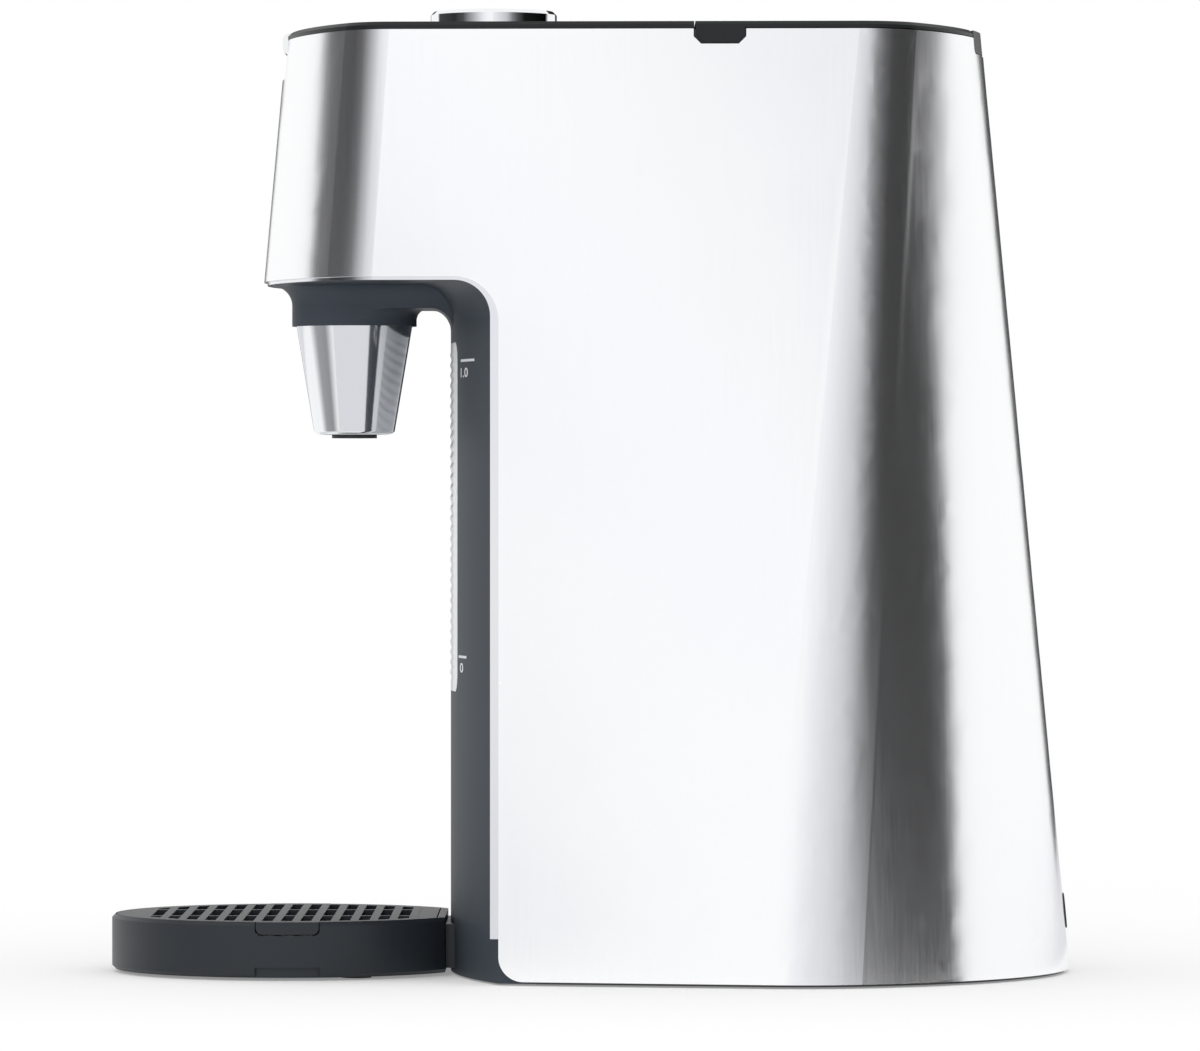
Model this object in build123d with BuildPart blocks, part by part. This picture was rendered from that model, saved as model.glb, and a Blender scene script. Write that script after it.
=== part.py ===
from build123d import *
import os

os.makedirs("parts", exist_ok=True)

# Countertop hot-water dispenser, millimetres. +Z is up, the cup bay faces -Y, X is the width.
# The origin is on the counter, at the middle of the whole object's footprint.

# ---------------------------------------------------------------- driving dimensions
fit = 0.2                 # clearance between pieces of the housing that slide together
gap = 0.4                 # clearance round a piece that moves
running = 0.05            # radial clearance of a shaft or pin in its bore

# body: a tapered shell, its plan given at the bottom and at the top
body_bottom = 0.6         # underside of the base plate
shell_bottom = 1.3        # lower edge of the shell
shell_top = 308.8         # upper edge of the shell
top_thick = 2.5           # top panel and lid
foot_front = -129.6       # plan at the bottom, where the bay has not been cut yet
foot_rear = 159.4
foot_half_front = 72.0    # half width at the front and rear corners
foot_half_rear = 104.0
foot_bow_front = 34.7     # depth of the bowed front and rear
foot_bow_rear = 90.5
foot_round_front = 30.0   # corner radii
foot_round_rear = 60.0
crown_front = -101.2      # plan at the top
crown_rear = 130.0
crown_half_front = 81.0
crown_half_rear = 86.3
crown_bow_front = 27.5
crown_bow_rear = 31.8
crown_round_front = 18.0
crown_round_rear = 22.0
shell_wall = 1.2          # thickness of the sheet
trim_thick = 1.0          # bright band behind the shell's free edge round the bay
trim_hidden = 6.0         # how far the band reaches behind the shell

# cup bay
bay_back = -29.7          # free edge of the shell's outer layer beside the column
head_height = 79.8        # from the shell's free edge under the head to its upper edge
bay_corner = 14.5
bay_toe = 8.0
trim_back = 2.7           # how far the band shows past the shell
trim_roof = 1.1
trim_low = 15.0

# fascia
moulding = 2.5            # wall of the plastic mouldings
column_front = -46.6
column_bow = 209.0        # radius of the column's front in plan
head_depth = 8.8          # from the shell's free edge down to the head's underside
head_flare = 6.5          # hollow round between the underside and the spout's boss
arch_round = 7.4          # hollow rounds of the arch between the boss and the column
arch_round_collar = 3.6
side_return = 12.0        # the fascia's flanges inside the shell

# spout
spout_y = -78.75
collar_radius = 20.75
collar_depth = 5.7        # how far the collar stands below the underside
shroud_top_radius = 19.25
shroud_low_radius = 13.25
shroud_length = 36.0
shroud_wall = 1.6
shroud_lip = 1.4
tube_radius = 7.5
tube_bore = 5.0
tube_drop = 1.2           # how far the tube shows below the shroud
chamber_radius = 24.0
chamber_height = 38.0
hot_port_rise = 22.8      # the inlet's height over the chamber's floor

# water-level window
window_half = 34.0
window_bottom = 93.3
window_gap = 20.0         # from the window up to the bay's roof
window_round = 6.0
window_flange = 4.0
flange_thick = 1.5
gasket_thick = 1.5

insert_set = 4.0
insert_rise = 8.0
chamber_wall = 2.0
chamber_shoulder = 6.0
nipple_length = 8.0

# top: control panel at the front, lid at the rear
split_y = 33.7
top_round = 1.1
tab_length = 16.2
tab_drop = 4.5
tab_chamfer = 2.4
lid_seat = 0.3            # pads' height between the lid and the rim
barrel_radius = 3.4       # hinge barrels at the rear edge
barrel_half = 33.2        # half length of the row of barrels
barrel_inner = 15.0       # half length of the lid's own barrel
barrel_inset = 0.8        # how far the barrels lie inside the outline
hinge_set = 0.1           # how far the barrels lie below the top
hinge_drop = 5.2          # height of the hinge's cover below the shell's upper edge
hinge_round = 2.0
pin_radius = 1.5
pin_half = 24.0
frame_skirt = 9.0
frame_flange = 7.0
frame_wall = 2.2
bar_width = 12.0

# dial
dial_y = -32.3
dial_radius = 21.0
dial_height = 8.0
dial_wall = 1.5
dial_round = 1.2
dial_shaft_radius = 3.0
encoder_size = 14.0
encoder_height = 6.5
encoder_bush_radius = 4.5
hub_ribs = 6

# start key
key_half = 16.0
key_overhang = 0.8
key_height = 7.0
key_depth = 10.0
key_travel = 2.5
recess_half = 20.0
recess_drop = 12.8
recess_depth = 4.0

key_flange = 6.0
encoder_gap = 0.8
encoder_floor = 1.5
pointer_place = 14.7      # middle of the pointer from the dial's axis
pointer_length = 9.0
pointer_width = 1.6
pointer_depth = 0.5

# control board
board_half = 45.0
board_front = -82.0
board_rear = 10.0
boss_radius = 3.5
boss_bore = 1.25
screw_radius = 1.2
screw_grip = 5.0
chip_size = 14.0
chip_height = 2.0

spring_wire = 0.25
spring_half = 2.6
switch_size = 6.0
switch_button = 1.0

# tank
tank_spigot = 12.0
strainer_radius = 10.0
strainer_height = 14.0
strainer_wall = 1.2
strainer_slots = 8
seal_thick = 1.6
seal_width = 2.4
tank_half = 66.0
tank_front = -14.0
tank_rear = 106.0
tank_round = 24.0
tank_room = 16.8          # from the tank's top up to the shell's upper edge
tank_wall = 2.5
mouth_half = 54.0
mouth_front = 45.0
mouth_rear = 100.0
mouth_round = 14.0
mouth_rise = 9.0
shelf_thick = 3.0
leg_radius = 6.0
leg_bore = 1.6

# lower bay
plate_thick = 3.0
plate_rim = 9.0
foot_radius = 8.0
foot_recess = 1.4
pump_x = -45.0
pump_z = 34.0
pump_front = 30.0
pump_radius = 19.0
pump_length = 14.0
motor_radius = 14.0
motor_length = 38.0
impeller_radius = 14.5
vane_place = 8.0
vane_length = 11.6
vane_sweep = 30.0
vane_count = 6
hose_radius = 5.0
hose_bend = 10.0
bend_room = 12.0          # straight-line room that a bend takes
nipple_radius = 3.1
nipple_bore = 2.0
heater_x = 38.0
heater_front = 24.0
heater_length = 84.0
heater_z = 30.0
heater_lobe = 13.0
heater_pitch = 14.0
board_thick = 1.6

case_screw_length = 16.0
case_screw_grip = 12.8    # thread in the leg
case_boss_rise = 4.0
leg_front_x = 72.0
leg_front_y = -8.0
leg_rear_x = 80.0
leg_rear_y = 80.0
hot_y = -26.0
element_end = 12.0
bracket_thick = 2.0
saddle_inset = 12.6       # brackets from the heater's ends
cutout_inset = 17.0       # thermal cutouts from the brackets
bracket_foot = 12.0
cutout_radius = 8.0
cutout_height = 6.0

slot_length = 18.0
vent_width = 4.0
vent_count = 7
gland_z = 20.0
gland_radius = 6.0
gland_bore = 3.6
gland_flange = 9.0        # radius of its flange inside the shell
gland_proud = 0.6
shaft_radius = 1.5
power_x = -10.0
power_y = -18.0
power_z = 12.0
power_length = 96.0
power_width = 30.0
transformer_place = 29.0
transformer_size = (24.0, 21.0, 18.0)
relay_size = (18.0, 15.0, 15.0)
capacitor_place = 19.0
capacitor_pitch = 12.0
capacitor_radius = 4.5
capacitor_height = 21.0
sink_place = 37.0
sink_width = 24.0
sink_height = 24.0
fin_count = 4
fin_pitch = 4.0
fin_thick = 1.6

# drip tray
tray_y = -99.4
tray_radius = 60.0
tray_bottom = 1.0
tray_top = 19.2
tray_rear = -48.0
tray_wall = 2.4
tray_edge = 1.2
tray_block = 9.0          # thick rear wall with the two sockets
grip_length = 21.2
grip_depth = 4.5
grip_round = 2.0
grip_y = -98.8
toe_notch = 3.3
grille_thick = 2.4
slat_pitch = 6.3
slot_width = 3.6
grille_border = 5.0
tongue_width = 6.0
tongue_height = 4.0
tongue_length = 7.0
tongue_x = 18.0
tongue_z = 10.0
tray_foot_radius = 5.0
tray_foot_recess = 0.8
tray_foot_ring_radius = 45.0
tray_foot_count = 3
slat_count = 15
rib_pitch = 38.0
rib_width = 3.0
bracket_low = 2.4
bracket_high = 16.8
bracket_half = 27.0

# ---------------------------------------------------------------- derived values
body_top = shell_top + top_thick
bay_roof = shell_top - head_height
head_floor = bay_roof - head_depth
collar_bottom = head_floor - collar_depth
shroud_bottom = collar_bottom - shroud_length
window_top = bay_roof - window_gap
dial_top = body_top + dial_height
tank_top_z = shell_top - tank_room
hinge_low = shell_top - hinge_drop
far = dial_top            # beyond every piece, for cuts that go right through
plate_top = body_bottom + plate_thick
leg_seat = plate_top + case_boss_rise
leg_places = [(-leg_front_x, leg_front_y), (leg_front_x, leg_front_y),
              (-leg_rear_x, leg_rear_y), (leg_rear_x, leg_rear_y)]
column_axis = column_front + column_bow


def plan(front, rear, half_front, half_rear, bow_front, bow_rear, round_front, round_rear):
    """Plan of the body: bowed front and rear, straight leaning sides, four rounded corners."""
    with BuildSketch() as outline:
        with BuildLine():
            nose = ThreePointArc(
                (-half_front, front + bow_front), (0, front), (half_front, front + bow_front)
            )
            tail = ThreePointArc(
                (half_rear, rear - bow_rear), (0, rear), (-half_rear, rear - bow_rear)
            )
            Line(nose @ 1, tail @ 0)
            Line(tail @ 1, nose @ 0)
        make_face()
        fillet(outline.vertices().group_by(Axis.Y)[0], radius=round_front)
        fillet(outline.vertices().group_by(Axis.Y)[-1], radius=round_rear)
    return outline.sketch


foot_plan = (foot_front, foot_rear, foot_half_front, foot_half_rear,
             foot_bow_front, foot_bow_rear, foot_round_front, foot_round_rear)
crown_plan = (crown_front, crown_rear, crown_half_front, crown_half_rear,
              crown_bow_front, crown_bow_rear, crown_round_front, crown_round_rear)


def plan_at(height, inset=0):
    """Plan of the body at one height, its edge moved in by inset."""
    rise = (height - body_bottom) / (body_top - body_bottom)
    with BuildSketch() as level:
        add(plan(*(low + (high - low) * rise for low, high in zip(foot_plan, crown_plan))))
        if inset:
            offset(amount=-inset)
    return level.sketch


def body(inset):
    """The whole tapered body as one solid, its sides moved in by inset."""
    with BuildPart() as block:
        for height in (body_bottom, body_top):
            with BuildSketch(Plane.XY.offset(height)):
                add(plan_at(height, inset))
        loft(ruled=True)
    return block.part



def slab(low, high, half=far, front=-far, rear=far):
    """A box between two heights, for taking a level or a region out of the body."""
    with BuildPart() as block:
        with BuildSketch(Plane.XY.offset(low)):
            with Locations((0, (front + rear) / 2)):
                Rectangle(2 * half, rear - front)
        extrude(amount=high - low)
    return block.part


def drum(radius, low, high, x=0, y=0):
    """An upright cylinder."""
    with BuildPart() as block:
        with BuildSketch(Plane.XY.offset(low)):
            with Locations((x, y)):
                Circle(radius)
        extrude(amount=high - low)
    return block.part


def turned(profile, x=0, y=0):
    """A solid of revolution about an upright axis, from (radius, height) points."""
    with BuildPart() as piece:
        with BuildSketch(Plane((x, y, 0), x_dir=(1, 0, 0), z_dir=(0, -1, 0))):
            Polygon(*profile, align=None)
        revolve(axis=Axis((x, y, 0), (0, 0, 1)))
    return piece.part


def bay(edge, roof, corner, toe):
    """The cup bay as a bar across the whole width, with the rounded corners of its side view."""
    with BuildPart() as bar:
        with BuildSketch(Plane.YZ):
            with BuildLine():
                wall = Line((edge, shell_bottom + toe), (edge, roof - corner))
                upper = JernArc(wall @ 1, (0, 1), corner, 90)
                lower = JernArc(wall @ 0, (0, -1), toe, 90)
                Polyline(upper @ 1, (-far, roof), (-far, -roof), ((lower @ 1).X, -roof), lower @ 1)
            make_face()
        extrude(amount=far, both=True)
    return bar.part


def tab_bar(grow):
    """Bar across the width in the outline of the finger tabs, its lower corners cut off."""
    with BuildPart() as bar:
        with BuildSketch(Plane.YZ) as side:
            with Locations((split_y + tab_length / 2, tab_low - grow)):
                Rectangle(tab_length + 2 * grow, shell_top + top_thick - tab_low,
                          align=(Align.CENTER, Align.MIN))
            chamfer(side.vertices().group_by(Axis.Y)[0], length=tab_chamfer)
        extrude(amount=far, both=True)
    return bar.part


def hinge_bar(grow):
    """Bar at the rear in the outline of the hinge's cover, its lower corners rounded."""
    with BuildPart() as bar:
        with BuildSketch(Plane.XZ) as back:
            with Locations((0, hinge_low - grow)):
                Rectangle(2 * (barrel_half + grow), 2 * (shell_top - hinge_low),
                          align=(Align.CENTER, Align.MIN))
            fillet(back.vertices().group_by(Axis.Y)[0], radius=hinge_round)
        extrude(amount=-far)
    return bar.part & slab(-far, body_top, front=barrel_y - barrel_clear)


def column_drum(step):
    """Upright drum whose front is the column's front, moved back by step."""
    return drum(column_bow - step, -far, 2 * far, 0, column_axis)


tab_low = shell_top - tab_drop
barrel_z = body_top - barrel_radius - hinge_set
barrel_y = crown_rear - barrel_radius - barrel_inset
barrel_clear = barrel_radius + gap

outer_form = body(0)
inner_form = body(shell_wall)
lining = body(shell_wall + trim_thick)
cavity = body(shell_wall + trim_thick + fit)
cavity_wall = body(shell_wall + trim_thick + fit + moulding)

# ---------------------------------------------------------------- outer shell
key_low = body_top - key_height
key_rear = crown_front - key_overhang + key_depth
recess_low = shell_top - recess_drop

with BuildPart() as outer_shell:
    add(outer_form)
    add(inner_form, mode=Mode.SUBTRACT)
    add(slab(-far, shell_bottom), mode=Mode.SUBTRACT)
    add(slab(shell_top, far * 2), mode=Mode.SUBTRACT)
    add(bay(bay_back, bay_roof, bay_corner, bay_toe), mode=Mode.SUBTRACT)
    # rim notches: finger tabs at both sides, hinge cover at the rear, start key at the front
    add(tab_bar(gap), mode=Mode.SUBTRACT)
    add(hinge_bar(0), mode=Mode.SUBTRACT)
    add(slab(recess_low, far, half=recess_half, rear=crown_front + crown_bow_front),
        mode=Mode.SUBTRACT)
    # hole for the mains lead's gland
    with BuildSketch(Plane.XZ.offset(-foot_rear + foot_bow_rear)):
        with Locations((0, gland_z)):
            Circle(gland_radius)
    extrude(amount=-foot_bow_rear - shell_wall, mode=Mode.SUBTRACT)
outer_shell.part.label = "outer_shell"
export_step(outer_shell.part, "parts/outer_shell.step")

with BuildPart() as bay_trim:
    # band along the shell's free edge, partly behind it
    add(inner_form - lining)
    add(slab(trim_low, far), mode=Mode.INTERSECT)
    add(bay(bay_back + trim_hidden, bay_roof + trim_hidden, bay_corner + trim_hidden, bay_toe),
        mode=Mode.INTERSECT)
    add(bay(bay_back - trim_back, bay_roof - trim_roof, bay_corner - trim_back, bay_toe),
        mode=Mode.SUBTRACT)
bay_trim.part.label = "bay_trim"
export_step(bay_trim.part, "parts/bay_trim.step")

# ---------------------------------------------------------------- front fascia
ledge_z = bay_roof - trim_roof
head_deck = ledge_z + moulding


def hollow_round(face, way, radius, top, axis):
    """Hollow round between a drum's wall and a ceiling; way is +1 or -1, the ceiling's side."""
    with BuildPart() as ring:
        with BuildSketch(Plane.YZ):
            with BuildLine():
                across = Line((face, top - radius), (face, top))
                along = Line(across @ 1, (face + way * radius, top))
                JernArc(along @ 1, (-way, 0), radius, way * 90)
            make_face()
        revolve(axis=Axis((0, axis, 0), (0, 0, 1)))
    return ring.part


def window_bar(grow):
    """Rounded bar through the column's front where the window sits, made larger by grow."""
    with BuildPart() as bar:
        with BuildSketch(Plane.XZ):
            with Locations((0, (window_bottom + window_top) / 2)):
                RectangleRounded(2 * (window_half + grow), window_top - window_bottom + 2 * grow,
                                 window_round + grow)
        extrude(amount=far)
    return bar.part


def spout_boss(wall):
    """Plan of the boss that carries the collar and runs back into the column."""
    with BuildSketch() as outline:
        with Locations((0, spout_y)):
            Circle(collar_radius - wall)
            Rectangle(2 * (collar_radius - wall), tank_rear, align=(Align.CENTER, Align.MIN))
    return outline.sketch


with BuildPart() as head_pan:
    # floor of the head, and the spout's boss with a hollow round about it
    with BuildSketch(Plane.XY.offset(ledge_z)):
        add(plan_at(ledge_z, shell_wall))
    extrude(amount=moulding)
    with BuildSketch(Plane.XY.offset(head_floor)):
        add(spout_boss(0))
    extrude(amount=ledge_z - head_floor)
    ledge = head_pan.faces().filter_by(Plane.XY).sort_by(Axis.Z)[1]
    fillet(ledge.inner_wires()[0].edges(), radius=head_flare)
    # the boss is hollow inside, open upwards
    with BuildSketch(Plane.XY.offset(head_floor + moulding)):
        add(spout_boss(moulding))
    extrude(amount=ledge_z, mode=Mode.SUBTRACT)
    add(column_drum(moulding / 2), mode=Mode.SUBTRACT)
    add(cavity, mode=Mode.INTERSECT)

with BuildPart() as front_fascia:
    # column front, with its flanges that tuck behind the shell's free edges
    add(column_drum(0) - column_drum(moulding))
    add((slab(-far, 2 * far, rear=bay_back + side_return) & column_drum(0))
        - cavity_wall)
    add(slab(body_bottom, head_deck), mode=Mode.INTERSECT)
    add(cavity, mode=Mode.INTERSECT)
    add(head_pan.part)
    # hollow rounds of the arch under the boss, and where the column meets the head's floor
    under_boss = slab(-far, far, half=collar_radius, front=spout_y)
    add(hollow_round(column_front, -1, arch_round, head_floor, column_axis) & under_boss)
    add(hollow_round(spout_y + collar_radius, 1, arch_round_collar, head_floor, spout_y)
        & under_boss)
    add(hollow_round(column_front, -1, bay_corner - trim_back, ledge_z, column_axis) & cavity)
    # collar round the spout, carried up as the outlet chamber's seat
    add(drum(collar_radius, collar_bottom, head_deck, y=spout_y) & cavity)
    add(drum(collar_radius - moulding, collar_bottom - fit, far, y=spout_y), mode=Mode.SUBTRACT)
    # opening for the window
    add(window_bar(0), mode=Mode.SUBTRACT)
front_fascia.part.label = "front_fascia"
export_step(front_fascia.part, "parts/front_fascia.step")

# ---------------------------------------------------------------- water-level window
with BuildPart() as level_window:
    # a pane flush with the column, with a flange glued behind the moulding
    add((column_drum(0) - column_drum(moulding + flange_thick)) & window_bar(-fit))
    add((column_drum(moulding) - column_drum(moulding + flange_thick)) & window_bar(window_flange))
level_window.part.label = "level_window"
export_step(level_window.part, "parts/level_window.step")

gasket_step = moulding + flange_thick
with BuildPart() as window_gasket:
    add((column_drum(gasket_step) - column_drum(gasket_step + gasket_thick))
        & window_bar(window_flange))
    add(window_bar(-window_flange), mode=Mode.SUBTRACT)
window_gasket.part.label = "window_gasket"
export_step(window_gasket.part, "parts/window_gasket.step")

# ---------------------------------------------------------------- spout
with BuildPart() as spout_shroud:
    # a turned cone with a rounded lip, open at both ends
    add(turned([
        (shroud_low_radius - shroud_wall, shroud_bottom),
        (shroud_low_radius, shroud_bottom),
        (shroud_top_radius, collar_bottom),
        (shroud_top_radius - shroud_wall, collar_bottom),
    ], y=spout_y))
    fillet(spout_shroud.edges().group_by(Axis.Z)[0].sort_by(SortBy.RADIUS)[-1], radius=shroud_lip)
spout_shroud.part.label = "spout_shroud"
export_step(spout_shroud.part, "parts/spout_shroud.step")

insert_low = shroud_bottom + insert_set
shroud_slope = (shroud_top_radius - shroud_low_radius) / (collar_bottom - shroud_bottom)
insert_radius = shroud_low_radius - shroud_wall + shroud_slope * insert_set
with BuildPart() as spout_insert:
    # tapered plug that holds the tube in the middle of the shroud
    add(turned([
        (tube_radius, insert_low),
        (insert_radius, insert_low),
        (insert_radius + shroud_slope * insert_rise, insert_low + insert_rise),
        (tube_radius, insert_low + insert_rise),
    ], y=spout_y))
spout_insert.part.label = "spout_insert"
export_step(spout_insert.part, "parts/spout_insert.step")

chamber_low = head_deck
chamber_top = chamber_low + chamber_height
hot_x = heater_x + heater_pitch
hot_z = chamber_low + hot_port_rise
steam_z = chamber_top + nipple_length + hose_bend

with BuildPart() as spout_tube:
    add(drum(tube_radius, shroud_bottom - tube_drop, chamber_low, y=spout_y))
    add(drum(tube_bore, -far, far, y=spout_y), mode=Mode.SUBTRACT)
spout_tube.part.label = "spout_tube"
export_step(spout_tube.part, "parts/spout_tube.step")


def chamber_form(wall):
    """The chamber's outside, or its inside when a wall is given."""
    return turned([
        (0, chamber_low + wall),
        (chamber_radius - wall, chamber_low + wall),
        (chamber_radius - wall, chamber_top - chamber_shoulder),
        (chamber_radius - chamber_shoulder, chamber_top - wall),
        (0, chamber_top - wall),
    ], y=spout_y)


def nipple(x, y, z, direction, length=None):
    """A hose nipple that starts at a point and sticks out in a direction."""
    with BuildPart() as spigot:
        with BuildSketch(Plane((x, y, z), z_dir=direction)):
            Circle(nipple_radius)
        extrude(amount=length or nipple_length)
    return spigot.part


def nipple_hole(x, y, z, direction, wall):
    """The bore of a nipple, taken on through the wall behind it."""
    with BuildPart() as bore:
        with BuildSketch(Plane((x, y, z), z_dir=direction).offset(-2 * wall)):
            Circle(nipple_bore)
        extrude(amount=nipple_length + 4 * wall)
    return bore.part


with BuildPart() as outlet_chamber:
    # pot that lets the steam part from the water above the spout
    add(chamber_form(0))
    add(nipple(chamber_radius - chamber_wall, spout_y, hot_z, (1, 0, 0)))
    add(nipple(0, spout_y, chamber_top - chamber_wall, (0, 0, 1)))
    add(chamber_form(chamber_wall), mode=Mode.SUBTRACT)
    add(nipple_hole(chamber_radius, spout_y, hot_z, (1, 0, 0), chamber_wall), mode=Mode.SUBTRACT)
    add(nipple_hole(0, spout_y, chamber_top, (0, 0, 1), chamber_wall), mode=Mode.SUBTRACT)
    add(drum(tube_bore, -far, chamber_low + 2 * chamber_wall, y=spout_y), mode=Mode.SUBTRACT)
outlet_chamber.part.label = "outlet_chamber"
export_step(outlet_chamber.part, "parts/outlet_chamber.step")

# ---------------------------------------------------------------- top frame
bar_front = split_y - bar_width / 2
hinge_front = barrel_y - barrel_clear - gap
frame_form = body(shell_wall + fit)


def hinge_barrel(radius, half):
    """A cylinder on the hinge's axis."""
    with BuildPart() as bar:
        with BuildSketch(Plane.YZ):
            with Locations((barrel_y, barrel_z)):
                Circle(radius)
        extrude(amount=half, both=True)
    return bar.part


with BuildPart() as top_frame:
    # an angle-section ring inside the shell's rim, with a bar under the split line
    add((frame_form - body(shell_wall + fit + frame_wall))
        & slab(shell_top - frame_skirt, shell_top))
    add((frame_form - body(shell_wall + fit + frame_flange))
        & slab(shell_top - frame_wall, shell_top))
    add(frame_form & slab(shell_top - frame_skirt, shell_top, front=bar_front,
                      rear=bar_front + bar_width))
    add(frame_form & slab(shell_top - frame_skirt - frame_wall, shell_top - frame_skirt + frame_wall,
                      front=bar_front, rear=bar_front + bar_width), mode=Mode.SUBTRACT)
    # pocket for a fingertip under the start key
    pocket = slab(recess_low - frame_wall, shell_top, half=recess_half + frame_wall,
                  rear=crown_front + recess_depth + 2 * frame_wall)
    add((frame_form & pocket) - slab(recess_low, far, half=recess_half,
                                 rear=crown_front + recess_depth))
    # room for the start key, and the shelf for its spring and switch
    add(slab(key_low - key_travel - gap, far, half=key_half + gap,
             rear=key_rear + key_flange + gap), mode=Mode.SUBTRACT)
    add(slab(recess_low - frame_wall, recess_low, half=key_half,
             front=crown_front + recess_depth, rear=key_rear + key_flange))
    # hinge: two outer barrels and their cover, and room for the lid's own barrel between them
    add(slab(tab_low, shell_top - gap, half=barrel_half - fit, front=hinge_front - frame_wall,
             rear=barrel_y))
    add(hinge_barrel(barrel_radius, barrel_half - fit) & outer_form)
    add(hinge_bar(-fit) & outer_form & slab(-far, far, front=barrel_y))
    add(hinge_barrel(pin_radius + running, pin_half), mode=Mode.SUBTRACT)
    add(slab(hinge_low, far, half=barrel_inner + gap, front=hinge_front), mode=Mode.SUBTRACT)
top_frame.part.label = "top_frame"
export_step(top_frame.part, "parts/top_frame.step")

# ---------------------------------------------------------------- lid
lid_low = shell_top + lid_seat


def top_plate(low, front, rear, slot_half, slot_front, slot_rear):
    """Half of the top with a slot in its outer edge, the outer edge bevelled at the top."""
    with BuildPart() as plate:
        with BuildSketch(Plane.XY.offset(low)):
            add(plan_at(body_top))
            with Locations((0, (front + rear) / 2)):
                Rectangle(far, rear - front, align=(Align.MIN, Align.CENTER), mode=Mode.INTERSECT)
            with Locations((0, (slot_front + slot_rear) / 2)):
                Rectangle(2 * slot_half, slot_rear - slot_front, mode=Mode.SUBTRACT)
        extrude(amount=body_top - low)
        rim = plate.edges().group_by(Axis.Z)[-1]
        chamfer(rim.filter_by(Axis.X, reverse=True).filter_by(Axis.Y, reverse=True),
                length=top_round)
        mirror(about=Plane.YZ)
    return plate.part


seat_z = tank_top_z + mouth_rise
with BuildPart() as lid_cover:
    add(top_plate(lid_low, split_y + gap / 2, far, barrel_half + gap, hinge_front, far))
    # finger tabs, flush with the shell in its rim notches
    add((outer_form - body(shell_wall - fit)) & tab_bar(0)
        & slab(-far, lid_low + top_thick / 2, front=split_y + gap))
    # the middle hinge barrel on its web
    with BuildSketch(Plane.YZ):
        with BuildLine():
            Polyline((hinge_front - top_thick, lid_low), (hinge_front - top_thick, body_top),
                     (barrel_y, barrel_z + barrel_radius), (barrel_y, lid_low), close=True)
        make_face()
    extrude(amount=barrel_inner, both=True)
    add(hinge_barrel(barrel_radius, barrel_inner))
    add(hinge_barrel(pin_radius + running, barrel_half), mode=Mode.SUBTRACT)
lid_cover.part.label = "lid_cover"
export_step(lid_cover.part, "parts/lid_cover.step")

with BuildPart() as lid_hinge_pin:
    add(hinge_barrel(pin_radius, pin_half - fit))
lid_hinge_pin.part.label = "lid_hinge_pin"
export_step(lid_hinge_pin.part, "parts/lid_hinge_pin.step")


def mouth(grow, low, high):
    """Rounded block over the filler mouth, made larger by grow."""
    with BuildPart() as block:
        with BuildSketch(Plane.XY.offset(low)):
            with Locations((0, (mouth_front + mouth_rear) / 2)):
                RectangleRounded(2 * (mouth_half + grow), mouth_rear - mouth_front + 2 * grow,
                                 mouth_round + grow)
        extrude(amount=high - low)
    return block.part


liner_low = seat_z + seal_thick + gap
with BuildPart() as lid_liner:
    # shallow tray under the lid, open upwards, that carries the seal
    add(mouth(tank_wall + seal_width, liner_low, lid_low))
    add(mouth(seal_width, liner_low + moulding, lid_low), mode=Mode.SUBTRACT)
lid_liner.part.label = "lid_liner"
export_step(lid_liner.part, "parts/lid_liner.step")

with BuildPart() as lid_seal:
    add(mouth(tank_wall + seal_width / 2, liner_low - seal_thick, liner_low))
    add(mouth(-seal_width / 2, liner_low - seal_thick, liner_low), mode=Mode.SUBTRACT)
lid_seal.part.label = "lid_seal"
export_step(lid_seal.part, "parts/lid_seal.step")

# ---------------------------------------------------------------- control panel and dial
board_top = shell_top - encoder_height - encoder_gap
with BuildPart() as control_panel:
    # slot for the start key, hole for the dial's shaft
    add(top_plate(shell_top, -far, split_y - gap / 2, key_half + gap, -far, key_rear + gap))
    add(drum(encoder_bush_radius + fit, -far, far, y=dial_y), mode=Mode.SUBTRACT)
    # bosses that carry the control board
    with BuildSketch(Plane.XY.offset(board_top)):
        with Locations((0, (board_front + board_rear) / 2)):
            with GridLocations(2 * (board_half - boss_radius),
                               board_rear - board_front - 2 * boss_radius, 2, 2):
                Rectangle(2 * boss_radius, 2 * boss_radius)
                Circle(boss_bore, mode=Mode.SUBTRACT)
    extrude(amount=shell_top - board_top)
control_panel.part.label = "control_panel"
export_step(control_panel.part, "parts/control_panel.step")

dial_low = body_top + gap
with BuildPart() as dial_cap:
    # turned metal cap with a pointer groove
    add(turned([
        (0, dial_top - dial_wall),
        (dial_radius - dial_wall, dial_top - dial_wall),
        (dial_radius - dial_wall, dial_low),
        (dial_radius, dial_low),
        (dial_radius, dial_top - dial_round),
        (dial_radius - dial_round, dial_top),
        (0, dial_top),
    ], y=dial_y))
    with BuildSketch(Plane.XY.offset(dial_top)):
        with Locations((0, dial_y - pointer_place)):
            SlotOverall(pointer_length, pointer_width, rotation=90)
    extrude(amount=-pointer_depth, mode=Mode.SUBTRACT)
dial_cap.part.label = "dial_cap"
export_step(dial_cap.part, "parts/dial_cap.step")

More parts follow.
